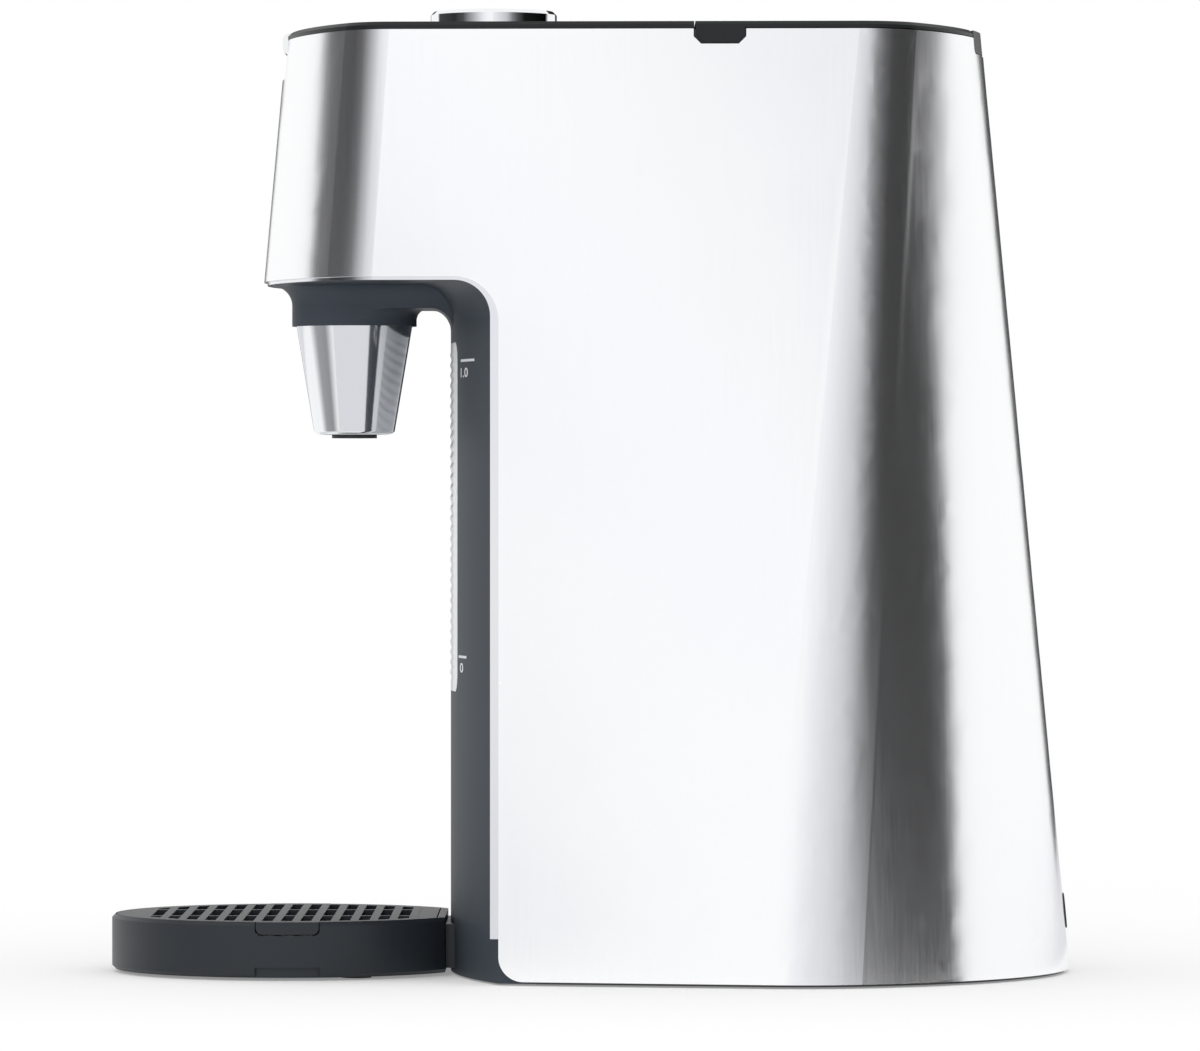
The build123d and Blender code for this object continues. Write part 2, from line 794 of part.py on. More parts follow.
shaft_top = dial_top - dial_wall - moulding
with BuildPart() as dial_hub:
    # plastic insert pressed into the cap, with six ribs from its rim to its boss
    add(drum(dial_radius - dial_wall, shaft_top, dial_top - dial_wall, y=dial_y))
    add(drum(2 * dial_shaft_radius, dial_low + gap, shaft_top, y=dial_y))
    with BuildSketch(Plane.XY.offset(dial_low + gap)):
        with Locations((0, dial_y)):
            with PolarLocations((dial_radius - dial_wall) / 2, hub_ribs):
                Rectangle(dial_radius - dial_wall - 2 * dial_shaft_radius, dial_wall)
    extrude(amount=shaft_top - dial_low - gap)
    add(drum(dial_shaft_radius, -far, shaft_top, y=dial_y), mode=Mode.SUBTRACT)
dial_hub.part.label = "dial_hub"
export_step(dial_hub.part, "parts/dial_hub.step")

with BuildPart() as encoder_shaft:
    add(drum(dial_shaft_radius, board_top + encoder_floor, shaft_top, y=dial_y))
encoder_shaft.part.label = "encoder_shaft"
export_step(encoder_shaft.part, "parts/encoder_shaft.step")

with BuildPart() as rotary_encoder:
    with BuildSketch(Plane.XY.offset(board_top)):
        with Locations((0, dial_y)):
            Rectangle(encoder_size, encoder_size)
    extrude(amount=encoder_height)
    add(drum(encoder_bush_radius, board_top, body_top - top_round / 2, y=dial_y))
    add(drum(dial_shaft_radius + running, board_top + encoder_floor - gap, far, y=dial_y),
        mode=Mode.SUBTRACT)
rotary_encoder.part.label = "rotary_encoder"
export_step(rotary_encoder.part, "parts/rotary_encoder.step")

with BuildPart() as control_board:
    with BuildSketch(Plane.XY.offset(board_top - board_thick)):
        with Locations((0, (board_front + board_rear) / 2)):
            Rectangle(2 * board_half, board_rear - board_front)
            with GridLocations(2 * (board_half - boss_radius),
                               board_rear - board_front - 2 * boss_radius, 2, 2):
                Circle(screw_radius + fit, mode=Mode.SUBTRACT)
    extrude(amount=board_thick)
    # processor and plug socket on its underside
    with BuildSketch(Plane.XY.offset(board_top - board_thick)):
        with Locations((0, board_front + board_half / 2)):
            Rectangle(chip_size, chip_size)
        with Locations((0, board_rear - chip_size)):
            Rectangle(2 * chip_size, chip_size / 2)
    extrude(amount=-chip_height)
control_board.part.label = "control_board"
export_step(control_board.part, "parts/control_board.step")

with BuildPart() as board_screws:
    with Locations((0, (board_front + board_rear) / 2, board_top - board_thick)):
        with GridLocations(2 * (board_half - boss_radius),
                           board_rear - board_front - 2 * boss_radius, 2, 2):
            Cylinder(screw_radius, board_thick + screw_grip,
                     align=(Align.CENTER, Align.CENTER, Align.MIN))
    with BuildSketch(Plane.XY.offset(board_top - board_thick)):
        with Locations((0, (board_front + board_rear) / 2)):
            with GridLocations(2 * (board_half - boss_radius),
                               board_rear - board_front - 2 * boss_radius, 2, 2):
                RegularPolygon(2 * screw_radius, 6)
    extrude(amount=-screw_radius)
board_screws.part.label = "board_screws"
export_step(board_screws.part, "parts/board_screws.step")

# ---------------------------------------------------------------- start key
with BuildPart() as start_key:
    # key with a rounded nose, and the flange under the panel that stops it
    with BuildSketch(Plane.YZ) as side:
        with Locations((crown_front - key_overhang, key_low)):
            Rectangle(key_depth, key_height, align=Align.MIN)
        fillet(side.vertices().sort_by(Axis.X)[:2], radius=2 * top_round)
    extrude(amount=key_half, both=True)
    with BuildSketch(Plane.XY.offset(key_low)):
        with Locations((0, key_rear)):
            Rectangle(2 * key_half, key_flange, align=(Align.CENTER, Align.MIN))
    extrude(amount=shell_top - gap / 2 - key_low)
start_key.part.label = "start_key"
export_step(start_key.part, "parts/start_key.step")

spring_y = key_rear + key_flange / 2
with BuildPart() as start_key_spring:
    # folded leaf of spring steel
    with BuildSketch(Plane.YZ):
        with BuildLine():
            leaf = Polyline(
                (spring_y + spring_half, key_low - spring_wire),
                (spring_y - spring_half, key_low - spring_wire),
                (spring_y + spring_half, (key_low + recess_low) / 2),
                (spring_y - spring_half, recess_low + spring_wire),
                (spring_y + spring_half, recess_low + spring_wire),
            )
        trace(leaf.edges(), line_width=2 * spring_wire)
    extrude(amount=spring_half, both=True)
start_key_spring.part.label = "start_key_spring"
export_step(start_key_spring.part, "parts/start_key_spring.step")

with BuildPart() as start_switch:
    # microswitch that the key meets at the end of its travel
    with Locations((key_half / 2, spring_y, recess_low)):
        Box(switch_size, switch_size, key_low - key_travel - fit - recess_low - switch_button,
            align=(Align.CENTER, Align.CENTER, Align.MIN))
        Cylinder(switch_size / 4, key_low - key_travel - fit - recess_low,
                 align=(Align.CENTER, Align.CENTER, Align.MIN))
start_switch.part.label = "start_switch"
export_step(start_switch.part, "parts/start_switch.step")

# ---------------------------------------------------------------- water tank
bay_room = body(shell_wall + trim_thick + 2 * fit + moulding)   # inside the fascia's flanges
tank_low = window_bottom - window_flange - fit
neck_half = window_half + window_flange
neck_top = window_top + window_flange
neck_step = gasket_step + gasket_thick


def tank_form(wall):
    """The tank's outside, or its inside when a wall is given: a box and the neck to the window."""
    with BuildPart() as form:
        with BuildSketch(Plane.XY.offset(tank_low + wall)):
            with Locations((0, (tank_front + tank_rear) / 2)):
                RectangleRounded(2 * (tank_half - wall), tank_rear - tank_front - 2 * wall,
                                 tank_round - wall)
        extrude(amount=tank_top_z - tank_low - wall)
        neck = slab(tank_low + wall, neck_top - wall, half=neck_half - wall,
                    rear=tank_front + tank_round)
        add(neck & column_drum(neck_step + wall))
    return form.part


outlet_x = pump_x
outlet_y = pump_front - nipple_length - bend_room
with BuildPart() as water_tank:
    add(tank_form(0))
    add(nipple(outlet_x, outlet_y, tank_low, (0, 0, -1), tank_spigot))
    add(nipple(0, tank_front, steam_z, (0, -1, 0)))
    add(tank_form(tank_wall), mode=Mode.SUBTRACT)
    add(window_bar(-window_flange), mode=Mode.SUBTRACT)
    add(drum(nipple_bore, -far, tank_low + 2 * tank_wall, outlet_x, outlet_y), mode=Mode.SUBTRACT)
    add(nipple_hole(0, tank_front, steam_z, (0, -1, 0), tank_wall), mode=Mode.SUBTRACT)
water_tank.part.label = "water_tank"
export_step(water_tank.part, "parts/water_tank.step")

with BuildPart() as tank_top:
    # welded cover with the filler mouth's collar
    with BuildSketch(Plane.XY.offset(tank_top_z)):
        with Locations((0, (tank_front + tank_rear) / 2)):
            RectangleRounded(2 * tank_half, tank_rear - tank_front, tank_round)
    extrude(amount=tank_wall)
    add(mouth(tank_wall, tank_top_z, seat_z))
    add(mouth(0, -far, seat_z), mode=Mode.SUBTRACT)
tank_top.part.label = "tank_top"
export_step(tank_top.part, "parts/tank_top.step")

with BuildPart() as tank_strainer:
    # slotted cup over the outlet
    add(drum(strainer_radius, tank_low + tank_wall, tank_low + tank_wall + strainer_height,
             outlet_x, outlet_y))
    add(drum(strainer_radius - strainer_wall, tank_low, tank_low + strainer_height,
             outlet_x, outlet_y), mode=Mode.SUBTRACT)
    with BuildSketch(Plane.XY.offset(tank_low + 2 * tank_wall)):
        with Locations((outlet_x, outlet_y)):
            with PolarLocations(strainer_radius, strainer_slots):
                Rectangle(3 * strainer_wall, strainer_wall)
    extrude(amount=strainer_height - 2 * tank_wall, mode=Mode.SUBTRACT)
tank_strainer.part.label = "tank_strainer"
export_step(tank_strainer.part, "parts/tank_strainer.step")

with BuildPart() as tank_shelf:
    # deck that carries the tank, on four hollow legs
    add(bay_room & slab(tank_low - shelf_thick, tank_low)
        & column_drum(neck_step))
    add(drum(hose_radius + 2 * gap, -far, far, hot_x, hot_y), mode=Mode.SUBTRACT)
    add(drum(hose_radius + 2 * gap, -far, far, outlet_x, outlet_y), mode=Mode.SUBTRACT)
    add(slab(-far, far, half=tank_round, front=tank_rear + moulding), mode=Mode.SUBTRACT)
    with BuildSketch(Plane.XY.offset(leg_seat)):
        with Locations(*leg_places):
            Rectangle(2 * leg_radius, 2 * leg_radius)
    extrude(amount=tank_low - leg_seat - shelf_thick / 2)
    with BuildSketch(Plane.XY.offset(leg_seat)):
        with Locations(*leg_places):
            Circle(leg_bore)
    extrude(amount=case_screw_length, mode=Mode.SUBTRACT)
tank_shelf.part.label = "tank_shelf"
export_step(tank_shelf.part, "parts/tank_shelf.step")

# ---------------------------------------------------------------- base
foot_places = [(-leg_front_x, leg_front_y + 2 * foot_radius),
               (leg_front_x, leg_front_y + 2 * foot_radius),
               (-leg_rear_x + foot_radius, leg_rear_y + 2 * foot_radius),
               (leg_rear_x - foot_radius, leg_rear_y + 2 * foot_radius)]
saddle_front = heater_front + saddle_inset
saddle_rear = heater_front + heater_length - saddle_inset
floor_clear = fit + moulding
with BuildPart() as base_plate:
    add(frame_form & slab(body_bottom, plate_top) & column_drum(floor_clear))
    # upstanding rim inside the shell
    rim = bay_room - body(shell_wall + trim_thick + 2 * (fit + moulding))
    add(rim & slab(body_bottom, plate_top + plate_rim) & column_drum(floor_clear))
    # room for the fascia's flanges
    add((frame_form - bay_room) & slab(-far, far, rear=bay_back + side_return + fit),
        mode=Mode.SUBTRACT)
    # bosses under the legs, pillars for the power board
    with BuildSketch(Plane.XY.offset(body_bottom)):
        with Locations(*leg_places):
            Rectangle(2 * leg_radius, 2 * leg_radius)
    extrude(amount=leg_seat - body_bottom)
    with BuildSketch(Plane.XY.offset(body_bottom)):
        with Locations((power_x, power_y)):
            with GridLocations(power_length - 2 * boss_radius, power_width - 2 * boss_radius, 2, 2):
                Rectangle(2 * boss_radius, 2 * boss_radius)
    extrude(amount=power_z - body_bottom)
    # screw holes, sunk feet, cooling slots
    with Locations(Plane.XY.offset(body_bottom).rotated((180, 0, 0))):
        with Locations(*[(x, -y) for x, y in leg_places]):
            CounterBoreHole(leg_bore + fit, 2 * leg_bore + fit, case_boss_rise)
    with BuildSketch(Plane.XY.offset(body_bottom)):
        with Locations(*foot_places):
            Circle(foot_radius + fit)
    extrude(amount=foot_recess, mode=Mode.SUBTRACT)
    with BuildSketch(Plane.XY.offset(body_bottom)):
        with Locations((0, leg_rear_y + 3 * slot_length / 2)):
            with GridLocations(2 * vent_width, 0, vent_count, 1):
                Rectangle(vent_width, slot_length)
    extrude(amount=plate_thick, mode=Mode.SUBTRACT)
base_plate.part.label = "base_plate"
export_step(base_plate.part, "parts/base_plate.step")

with BuildPart() as rubber_feet:
    with BuildSketch():
        with Locations(*foot_places):
            Circle(foot_radius)
    extrude(amount=body_bottom + foot_recess)
rubber_feet.part.label = "rubber_feet"
export_step(rubber_feet.part, "parts/rubber_feet.step")

with BuildPart() as case_screws:
    with Locations(*[(x, y, body_bottom + case_boss_rise) for x, y in leg_places]):
        Cylinder(leg_bore, leg_seat + case_screw_grip - body_bottom - case_boss_rise,
                 align=(Align.CENTER, Align.CENTER, Align.MIN))
    with BuildSketch(Plane.XY.offset(body_bottom + case_boss_rise)):
        with Locations(*leg_places):
            RegularPolygon(2 * leg_bore, 6)
    extrude(amount=-case_boss_rise / 2)
case_screws.part.label = "case_screws"
export_step(case_screws.part, "parts/case_screws.step")

with BuildPart() as cord_gland:
    # flanged bush in the rear of the shell; it follows the shell's wall
    with BuildPart(mode=Mode.PRIVATE) as stub:
        with BuildSketch(Plane.XZ.offset(-foot_rear + foot_bow_rear)):
            with Locations((0, gland_z)):
                Circle(gland_radius - fit)
        extrude(amount=-foot_bow_rear - shell_wall)
    with BuildPart(mode=Mode.PRIVATE) as flange:
        with BuildSketch(Plane.XZ.offset(-foot_rear + foot_bow_rear)):
            with Locations((0, gland_z)):
                Circle(gland_flange)
        extrude(amount=-foot_bow_rear - shell_wall)
    add(stub.part & (body(-gland_proud) - cavity_wall))
    add(flange.part & (frame_form - cavity_wall))
    with BuildSketch(Plane.XZ.offset(-foot_rear + foot_bow_rear)):
        with Locations((0, gland_z)):
            Circle(gland_bore)
    extrude(amount=-foot_bow_rear - shell_wall, mode=Mode.SUBTRACT)
cord_gland.part.label = "cord_gland"
export_step(cord_gland.part, "parts/cord_gland.step")

# ---------------------------------------------------------------- pump
pump_rear = pump_front + pump_length
motor_rear = pump_rear + flange_thick + motor_length


def axle(radius, front, rear, x=pump_x, z=pump_z):
    """A cylinder that lies front to rear."""
    with BuildPart() as bar:
        with BuildSketch(Plane((x, front, z), z_dir=(0, 1, 0))):
            Circle(radius)
        extrude(amount=rear - front)
    return bar.part


port_x = pump_x
port_y = pump_front + pump_length / 2
port_z = pump_z + pump_radius
with BuildPart() as pump_housing:
    # round chamber with an axial inlet and an outlet on top, closed by the motor's flange
    add(axle(pump_radius, pump_front, pump_rear))
    add(nipple(pump_x, pump_front, pump_z, (0, -1, 0)))
    add(nipple(port_x, port_y, port_z - tank_wall, (0, 0, 1), nipple_length + tank_wall))
    add(axle(pump_radius - tank_wall, pump_front + tank_wall, pump_rear), mode=Mode.SUBTRACT)
    add(nipple_hole(pump_x, pump_front, pump_z, (0, -1, 0), tank_wall), mode=Mode.SUBTRACT)
    add(nipple_hole(port_x, port_y, port_z, (0, 0, 1), tank_wall), mode=Mode.SUBTRACT)
pump_housing.part.label = "pump_housing"
export_step(pump_housing.part, "parts/pump_housing.step")

with BuildPart() as pump_motor:
    add(axle(pump_radius, pump_rear, pump_rear + flange_thick))
    add(axle(motor_radius, pump_rear + flange_thick, motor_rear))
    add(axle(shaft_radius + running, pump_rear, motor_rear - tank_wall), mode=Mode.SUBTRACT)
pump_motor.part.label = "pump_motor"
export_step(pump_motor.part, "parts/pump_motor.step")

disc_rear = pump_rear - 2 * gap
with BuildPart() as pump_impeller:
    # disc with six swept vanes
    add(axle(impeller_radius, disc_rear - flange_thick, disc_rear))
    add(axle(2 * shaft_radius, pump_front + 2 * tank_wall, disc_rear))
    with BuildSketch(Plane((pump_x, pump_front + 2 * tank_wall, pump_z), x_dir=(1, 0, 0),
                           z_dir=(0, 1, 0))):
        with PolarLocations(vane_place, vane_count):
            Rectangle(vane_length, shaft_radius, rotation=vane_sweep)
    extrude(amount=disc_rear - pump_front - 2 * tank_wall)
    add(axle(shaft_radius, -far, far), mode=Mode.SUBTRACT)
pump_impeller.part.label = "pump_impeller"
export_step(pump_impeller.part, "parts/pump_impeller.step")

with BuildPart() as pump_shaft:
    add(axle(shaft_radius, pump_front + 2 * tank_wall, motor_rear - 2 * tank_wall))
pump_shaft.part.label = "pump_shaft"
export_step(pump_shaft.part, "parts/pump_shaft.step")

with BuildPart() as pump_cradle:
    # rubber saddle under the motor
    add(slab(plate_top, pump_z, half=motor_radius, front=pump_rear + 2 * pump_length / 3,
             rear=motor_rear - pump_length / 3).moved(Location((pump_x, 0, 0))))
    add(axle(motor_radius + running, -far, far), mode=Mode.SUBTRACT)
pump_cradle.part.label = "pump_cradle"
export_step(pump_cradle.part, "parts/pump_cradle.step")

# ---------------------------------------------------------------- flow heater
heater_rear = heater_front + heater_length
with BuildPart() as flow_heater:
    # extruded block of three lobes: water tubes at the sides, the element in the middle
    with BuildSketch(Plane((heater_x, heater_front, heater_z), x_dir=(1, 0, 0),
                           z_dir=(0, -1, 0))) as section:
        with GridLocations(heater_pitch, 0, 3, 1):
            Circle(heater_lobe)
        with GridLocations(heater_pitch, 0, 3, 1):
            Circle(nipple_radius, mode=Mode.SUBTRACT)
    extrude(amount=-heater_length)
flow_heater.part.label = "flow_heater"
export_step(flow_heater.part, "parts/flow_heater.step")

with BuildPart() as heating_element:
    add(axle(nipple_radius - running, heater_front - element_end, heater_rear + element_end,
             heater_x, heater_z))
    add(axle(nipple_bore, heater_front - 1.5 * element_end, heater_rear + 1.5 * element_end,
             heater_x, heater_z))
heating_element.part.label = "heating_element"
export_step(heating_element.part, "parts/heating_element.step")

inlet_x = heater_x - heater_pitch
with BuildPart() as water_pipe:
    # one stainless pipe through the outer lobes, turned back behind the block
    with BuildLine() as route:
        inward = Line((inlet_x, heater_front - nipple_length, heater_z),
                      (inlet_x, heater_rear + element_end, heater_z))
        back = ThreePointArc(inward @ 1,
                             (heater_x, heater_rear + element_end + heater_pitch, heater_z),
                             (heater_x + heater_pitch, heater_rear + element_end, heater_z))
        Line(back @ 1, (heater_x + heater_pitch, heater_front - nipple_length, heater_z))
    with BuildSketch(Plane(route.line @ 0, z_dir=(0, 1, 0))):
        Circle(nipple_radius - running)
    sweep()
water_pipe.part.label = "water_pipe"
export_step(water_pipe.part, "parts/water_pipe.step")

heater_half = heater_pitch + heater_lobe
with BuildPart() as heater_brackets:
    # two pressed saddles screwed to the base
    for place in (saddle_front, saddle_rear):
        with BuildSketch(Plane((heater_x, place, 0), x_dir=(1, 0, 0), z_dir=(0, -1, 0))):
            with Locations((0, plate_top)):
                Rectangle(2 * heater_half, heater_z - plate_top,
                          align=(Align.CENTER, Align.MIN))
            with Locations((0, heater_z)):
                with GridLocations(heater_pitch, 0, 3, 1):
                    Circle(heater_lobe + running, mode=Mode.SUBTRACT)
        extrude(amount=bracket_thick / 2, both=True)
        with BuildSketch(Plane.XY.offset(plate_top)):
            with Locations((heater_x, place)):
                Rectangle(2 * heater_half, bracket_foot)
        extrude(amount=bracket_thick)
heater_brackets.part.label = "heater_brackets"
export_step(heater_brackets.part, "parts/heater_brackets.step")

with BuildPart() as thermal_cutouts:
    # two disc thermostats on the top lobe
    with Locations((heater_x, saddle_front + cutout_inset, heater_z + heater_lobe),
                   (heater_x, saddle_rear - cutout_inset, heater_z + heater_lobe)):
        Cylinder(cutout_radius, cutout_height, align=(Align.CENTER, Align.CENTER, Align.MIN))
        with GridLocations(cutout_radius, 0, 2, 1):
            Box(cutout_height / 8, cutout_height / 2, 2 * cutout_height,
                align=(Align.CENTER, Align.CENTER, Align.MIN))
thermal_cutouts.part.label = "thermal_cutouts"
export_step(thermal_cutouts.part, "parts/thermal_cutouts.step")

# ---------------------------------------------------------------- hoses


def hose(*points):
    """A hose along straight runs joined by bends; its ends meet the nipples."""
    with BuildPart() as tube:
        with BuildLine() as route:
            FilletPolyline(*points, radius=hose_bend)
        with BuildSketch(Plane(route.line @ 0, z_dir=route.line % 0)):
            Circle(hose_radius)
        sweep()
    return tube.part


with BuildPart() as inlet_hose:
    add(hose((outlet_x, outlet_y, tank_low - tank_spigot),
             (outlet_x, outlet_y, pump_z),
             (outlet_x, pump_front - nipple_length, pump_z)))
inlet_hose.part.label = "inlet_hose"
export_step(inlet_hose.part, "parts/inlet_hose.step")

pipe_end = heater_front - nipple_length
over_z = tank_low - shelf_thick - hose_radius - gap
with BuildPart() as pump_hose:
    add(hose((port_x, port_y, port_z + nipple_length),
             (port_x, port_y, over_z),
             (inlet_x, pipe_end - bend_room, over_z),
             (inlet_x, pipe_end - bend_room, heater_z),
             (inlet_x, heater_front - nipple_length, heater_z)))
pump_hose.part.label = "pump_hose"
export_step(pump_hose.part, "parts/pump_hose.step")

with BuildPart() as hot_hose:
    add(hose((hot_x, heater_front - nipple_length, heater_z),
             (hot_x, hot_y, heater_z),
             (hot_x, hot_y, hot_z),
             (hot_x, spout_y, hot_z),
             (chamber_radius - chamber_wall + nipple_length, spout_y, hot_z)))
hot_hose.part.label = "hot_hose"
export_step(hot_hose.part, "parts/hot_hose.step")

with BuildPart() as steam_hose:
    add(hose((0, spout_y, chamber_top - chamber_wall + nipple_length),
             (0, spout_y, steam_z),
             (0, tank_front - nipple_length, steam_z)))
steam_hose.part.label = "steam_hose"
export_step(steam_hose.part, "parts/steam_hose.step")

# ---------------------------------------------------------------- power board
with BuildPart() as power_board:
    # board with its relay, transformer, heat sink and terminals
    with BuildSketch(Plane.XY.offset(power_z)):
        with Locations((power_x, power_y)):
            Rectangle(power_length, power_width)
    extrude(amount=board_thick)
    on_board = (Align.CENTER, Align.CENTER, Align.MIN)
    with Locations((power_x - transformer_place, power_y, power_z + board_thick)):
        Box(*transformer_size, align=on_board)
    with Locations((power_x, power_y, power_z + board_thick)):
        Box(*relay_size, align=on_board)
    with Locations((power_x + capacitor_place, power_y, power_z + board_thick)):
        with GridLocations(0, capacitor_pitch, 1, 2):
            Cylinder(capacitor_radius, capacitor_height, align=on_board)
    with Locations((power_x + sink_place, power_y, power_z + board_thick)):
        Box(fin_count * fin_pitch, sink_width, fin_thick, align=on_board)
        with GridLocations(fin_pitch, 0, fin_count, 1):
            Box(fin_thick, sink_width, sink_height, align=on_board)
power_board.part.label = "power_board"
export_step(power_board.part, "parts/power_board.step")

# ---------------------------------------------------------------- drip tray
rebate = grille_thick + fit
socket = tongue_length + gap


def tray_form(inset, low, high, rear):
    """Round body of the tray, cut straight at its rear."""
    return drum(tray_radius - inset, low, high, y=tray_y) & slab(-far, far, rear=rear)


def grip_cut(low, high, grow, corner):
    """Bar across the tray at its two grips, with rounded lower corners."""
    with BuildPart() as bar:
        with BuildSketch(Plane.YZ) as side:
            with Locations((grip_y, low)):
                Rectangle(grip_length + 2 * grow, high - low, align=(Align.CENTER, Align.MIN))
            if corner:
                fillet(side.vertices().group_by(Axis.Y)[0], radius=corner)
        extrude(amount=far, both=True)
    return bar.part


with BuildPart() as drip_tray:
    add(tray_form(0, tray_bottom, tray_top, tray_rear))
    chamfer(drip_tray.faces().filter_by(Plane.XY).edges().filter_by(GeomType.CIRCLE),
            length=tray_edge)
    add(tray_form(tray_wall, tray_bottom + tray_wall, tray_top, tray_rear - tray_block),
        mode=Mode.SUBTRACT)
    # rebate that the grille lies in
    add(tray_form(tray_wall / 2, tray_top - rebate, tray_top, tray_rear - tray_wall),
        mode=Mode.SUBTRACT)
    # notches for the grille's grips, and their twins at the foot
    add(grip_cut(tray_top - grip_depth, tray_top + rebate, 0, grip_round), mode=Mode.SUBTRACT)
    add(grip_cut(-rebate, tray_bottom + toe_notch, 0, 0) - tray_form(tray_wall / 2, -far, far, far),
        mode=Mode.SUBTRACT)
    # sockets for the bracket's tongues, and seats for the feet
    with Locations((0, tray_rear, tongue_z)):
        with GridLocations(2 * tongue_x, 0, 2, 1):
            Box(tongue_width + 2 * gap, 2 * socket, tongue_height + 2 * gap, mode=Mode.SUBTRACT)
    with BuildSketch(Plane.XY.offset(tray_bottom)):
        with Locations((0, tray_y)):
            with PolarLocations(tray_foot_ring_radius, tray_foot_count, start_angle=-90):
                Circle(tray_foot_radius + fit)
    extrude(amount=tray_foot_recess, mode=Mode.SUBTRACT)
drip_tray.part.label = "drip_tray"
export_step(drip_tray.part, "parts/drip_tray.step")

with BuildPart() as tray_feet:
    with BuildSketch():
        with Locations((0, tray_y)):
            with PolarLocations(tray_foot_ring_radius, tray_foot_count, start_angle=-90):
                Circle(tray_foot_radius)
    extrude(amount=tray_bottom + tray_foot_recess)
tray_feet.part.label = "tray_feet"
export_step(tray_feet.part, "parts/tray_feet.step")

slot_area = tray_radius - tray_wall - grille_border
with BuildPart() as drip_grille:
    # plate with rows of slots, two grip tabs and a stiffening rib under each gap between rows
    add(tray_form(tray_wall / 2 + gap, tray_top - grille_thick, tray_top,
                  tray_rear - tray_wall - gap))
    with BuildSketch(Plane.XY.offset(tray_top)):
        with Locations((0, tray_y)):
            with GridLocations(0, slat_pitch, 1, slat_count):
                Rectangle(2 * tray_radius, slot_width)
            Circle(slot_area, mode=Mode.INTERSECT)
        with Locations((0, tray_rear - tray_block)):
            Rectangle(2 * tray_radius, 2 * grille_border, align=(Align.CENTER, Align.MIN),
                      mode=Mode.SUBTRACT)
        with Locations((0, tray_y)):
            with GridLocations(rib_pitch, 0, 2, 1):
                Rectangle(rib_width, 2 * tray_radius, mode=Mode.SUBTRACT)
    extrude(amount=-grille_thick, mode=Mode.SUBTRACT)
    rim_wall = tray_form(0, -far, tray_top, tray_rear) - tray_form(tray_wall, -far, far, tray_rear)
    add(rim_wall & grip_cut(tray_top - grip_depth + gap, far, -gap, grip_round))
    add(tray_form(tray_wall / 2, tray_top - grille_thick, tray_top, tray_rear)
        & grip_cut(-far, far, -gap, 0)
        - tray_form(tray_wall + grille_border / 2, -far, far, tray_rear))
drip_grille.part.label = "drip_grille"
export_step(drip_grille.part, "parts/drip_grille.step")

with BuildPart() as tray_bracket:
    # block on the column's foot, its rear face following the column, with two tongues
    add(slab(bracket_low, bracket_high, half=bracket_half, front=tray_rear + fit, rear=0)
        - column_drum(0))
    with Locations((0, tray_rear - tongue_length, tongue_z)):
        with GridLocations(2 * tongue_x, 0, 2, 1):
            Box(tongue_width, tongue_length + 2 * fit, tongue_height,
                align=(Align.CENTER, Align.MIN, Align.CENTER))
tray_bracket.part.label = "tray_bracket"
export_step(tray_bracket.part, "parts/tray_bracket.step")
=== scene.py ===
import bmesh
import bpy
import math
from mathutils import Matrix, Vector


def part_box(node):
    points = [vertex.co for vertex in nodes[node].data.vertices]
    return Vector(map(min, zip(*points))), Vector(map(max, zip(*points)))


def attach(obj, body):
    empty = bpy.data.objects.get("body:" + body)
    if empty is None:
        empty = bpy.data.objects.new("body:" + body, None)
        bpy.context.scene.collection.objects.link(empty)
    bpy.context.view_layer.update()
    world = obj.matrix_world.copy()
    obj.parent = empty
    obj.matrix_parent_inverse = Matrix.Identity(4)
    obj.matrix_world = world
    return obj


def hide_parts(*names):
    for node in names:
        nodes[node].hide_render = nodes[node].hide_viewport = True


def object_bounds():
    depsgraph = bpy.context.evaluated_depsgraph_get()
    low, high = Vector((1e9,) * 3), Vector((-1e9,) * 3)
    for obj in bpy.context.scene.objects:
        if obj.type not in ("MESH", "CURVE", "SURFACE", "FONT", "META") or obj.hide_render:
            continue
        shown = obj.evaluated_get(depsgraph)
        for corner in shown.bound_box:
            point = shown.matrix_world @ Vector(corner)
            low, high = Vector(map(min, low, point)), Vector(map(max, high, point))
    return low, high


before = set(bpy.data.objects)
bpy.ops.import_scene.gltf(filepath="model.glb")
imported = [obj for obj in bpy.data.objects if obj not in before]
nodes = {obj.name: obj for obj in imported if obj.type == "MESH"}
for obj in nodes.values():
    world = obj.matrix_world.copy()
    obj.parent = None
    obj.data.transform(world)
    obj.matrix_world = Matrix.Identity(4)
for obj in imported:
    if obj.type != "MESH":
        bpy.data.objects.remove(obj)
cad_low, cad_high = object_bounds()
scene = bpy.context.scene


# ---------------------------------------------------------------- outer shell
# One skin of satin-brushed stainless steel, rolled to the tapered plan and laser-welded up the
# back. The brushing runs up and down, so what it mirrors smears sideways into soft upright bands.

def shader_of(finish):
    """The node that holds a finish's colour, gloss and relief."""
    return finish.node_tree.nodes["Principled BSDF"]


def new_finish(name, colour, roughness, metallic=0.0):
    """A named material with a plain colour and gloss."""
    finish = bpy.data.materials.new(name)
    finish.use_nodes = True
    shader = shader_of(finish)
    shader.inputs["Base Color"].default_value = (*colour, 1)
    shader.inputs["Roughness"].default_value = roughness
    shader.inputs["Metallic"].default_value = metallic
    return finish


def placed(finish, stretch=(1, 1, 1), shift=(0, 0, 0)):
    """The piece's own coordinates in metres, shifted and then stretched."""
    tree = finish.node_tree
    place = tree.nodes.new("ShaderNodeTexCoord")
    mapping = tree.nodes.new("ShaderNodeMapping")
    mapping.vector_type = "TEXTURE"
    mapping.inputs["Location"].default_value = shift
    mapping.inputs["Scale"].default_value = [1 / s for s in stretch]
    tree.links.new(place.outputs["Object"], mapping.inputs["Vector"])
    return mapping.outputs["Vector"]


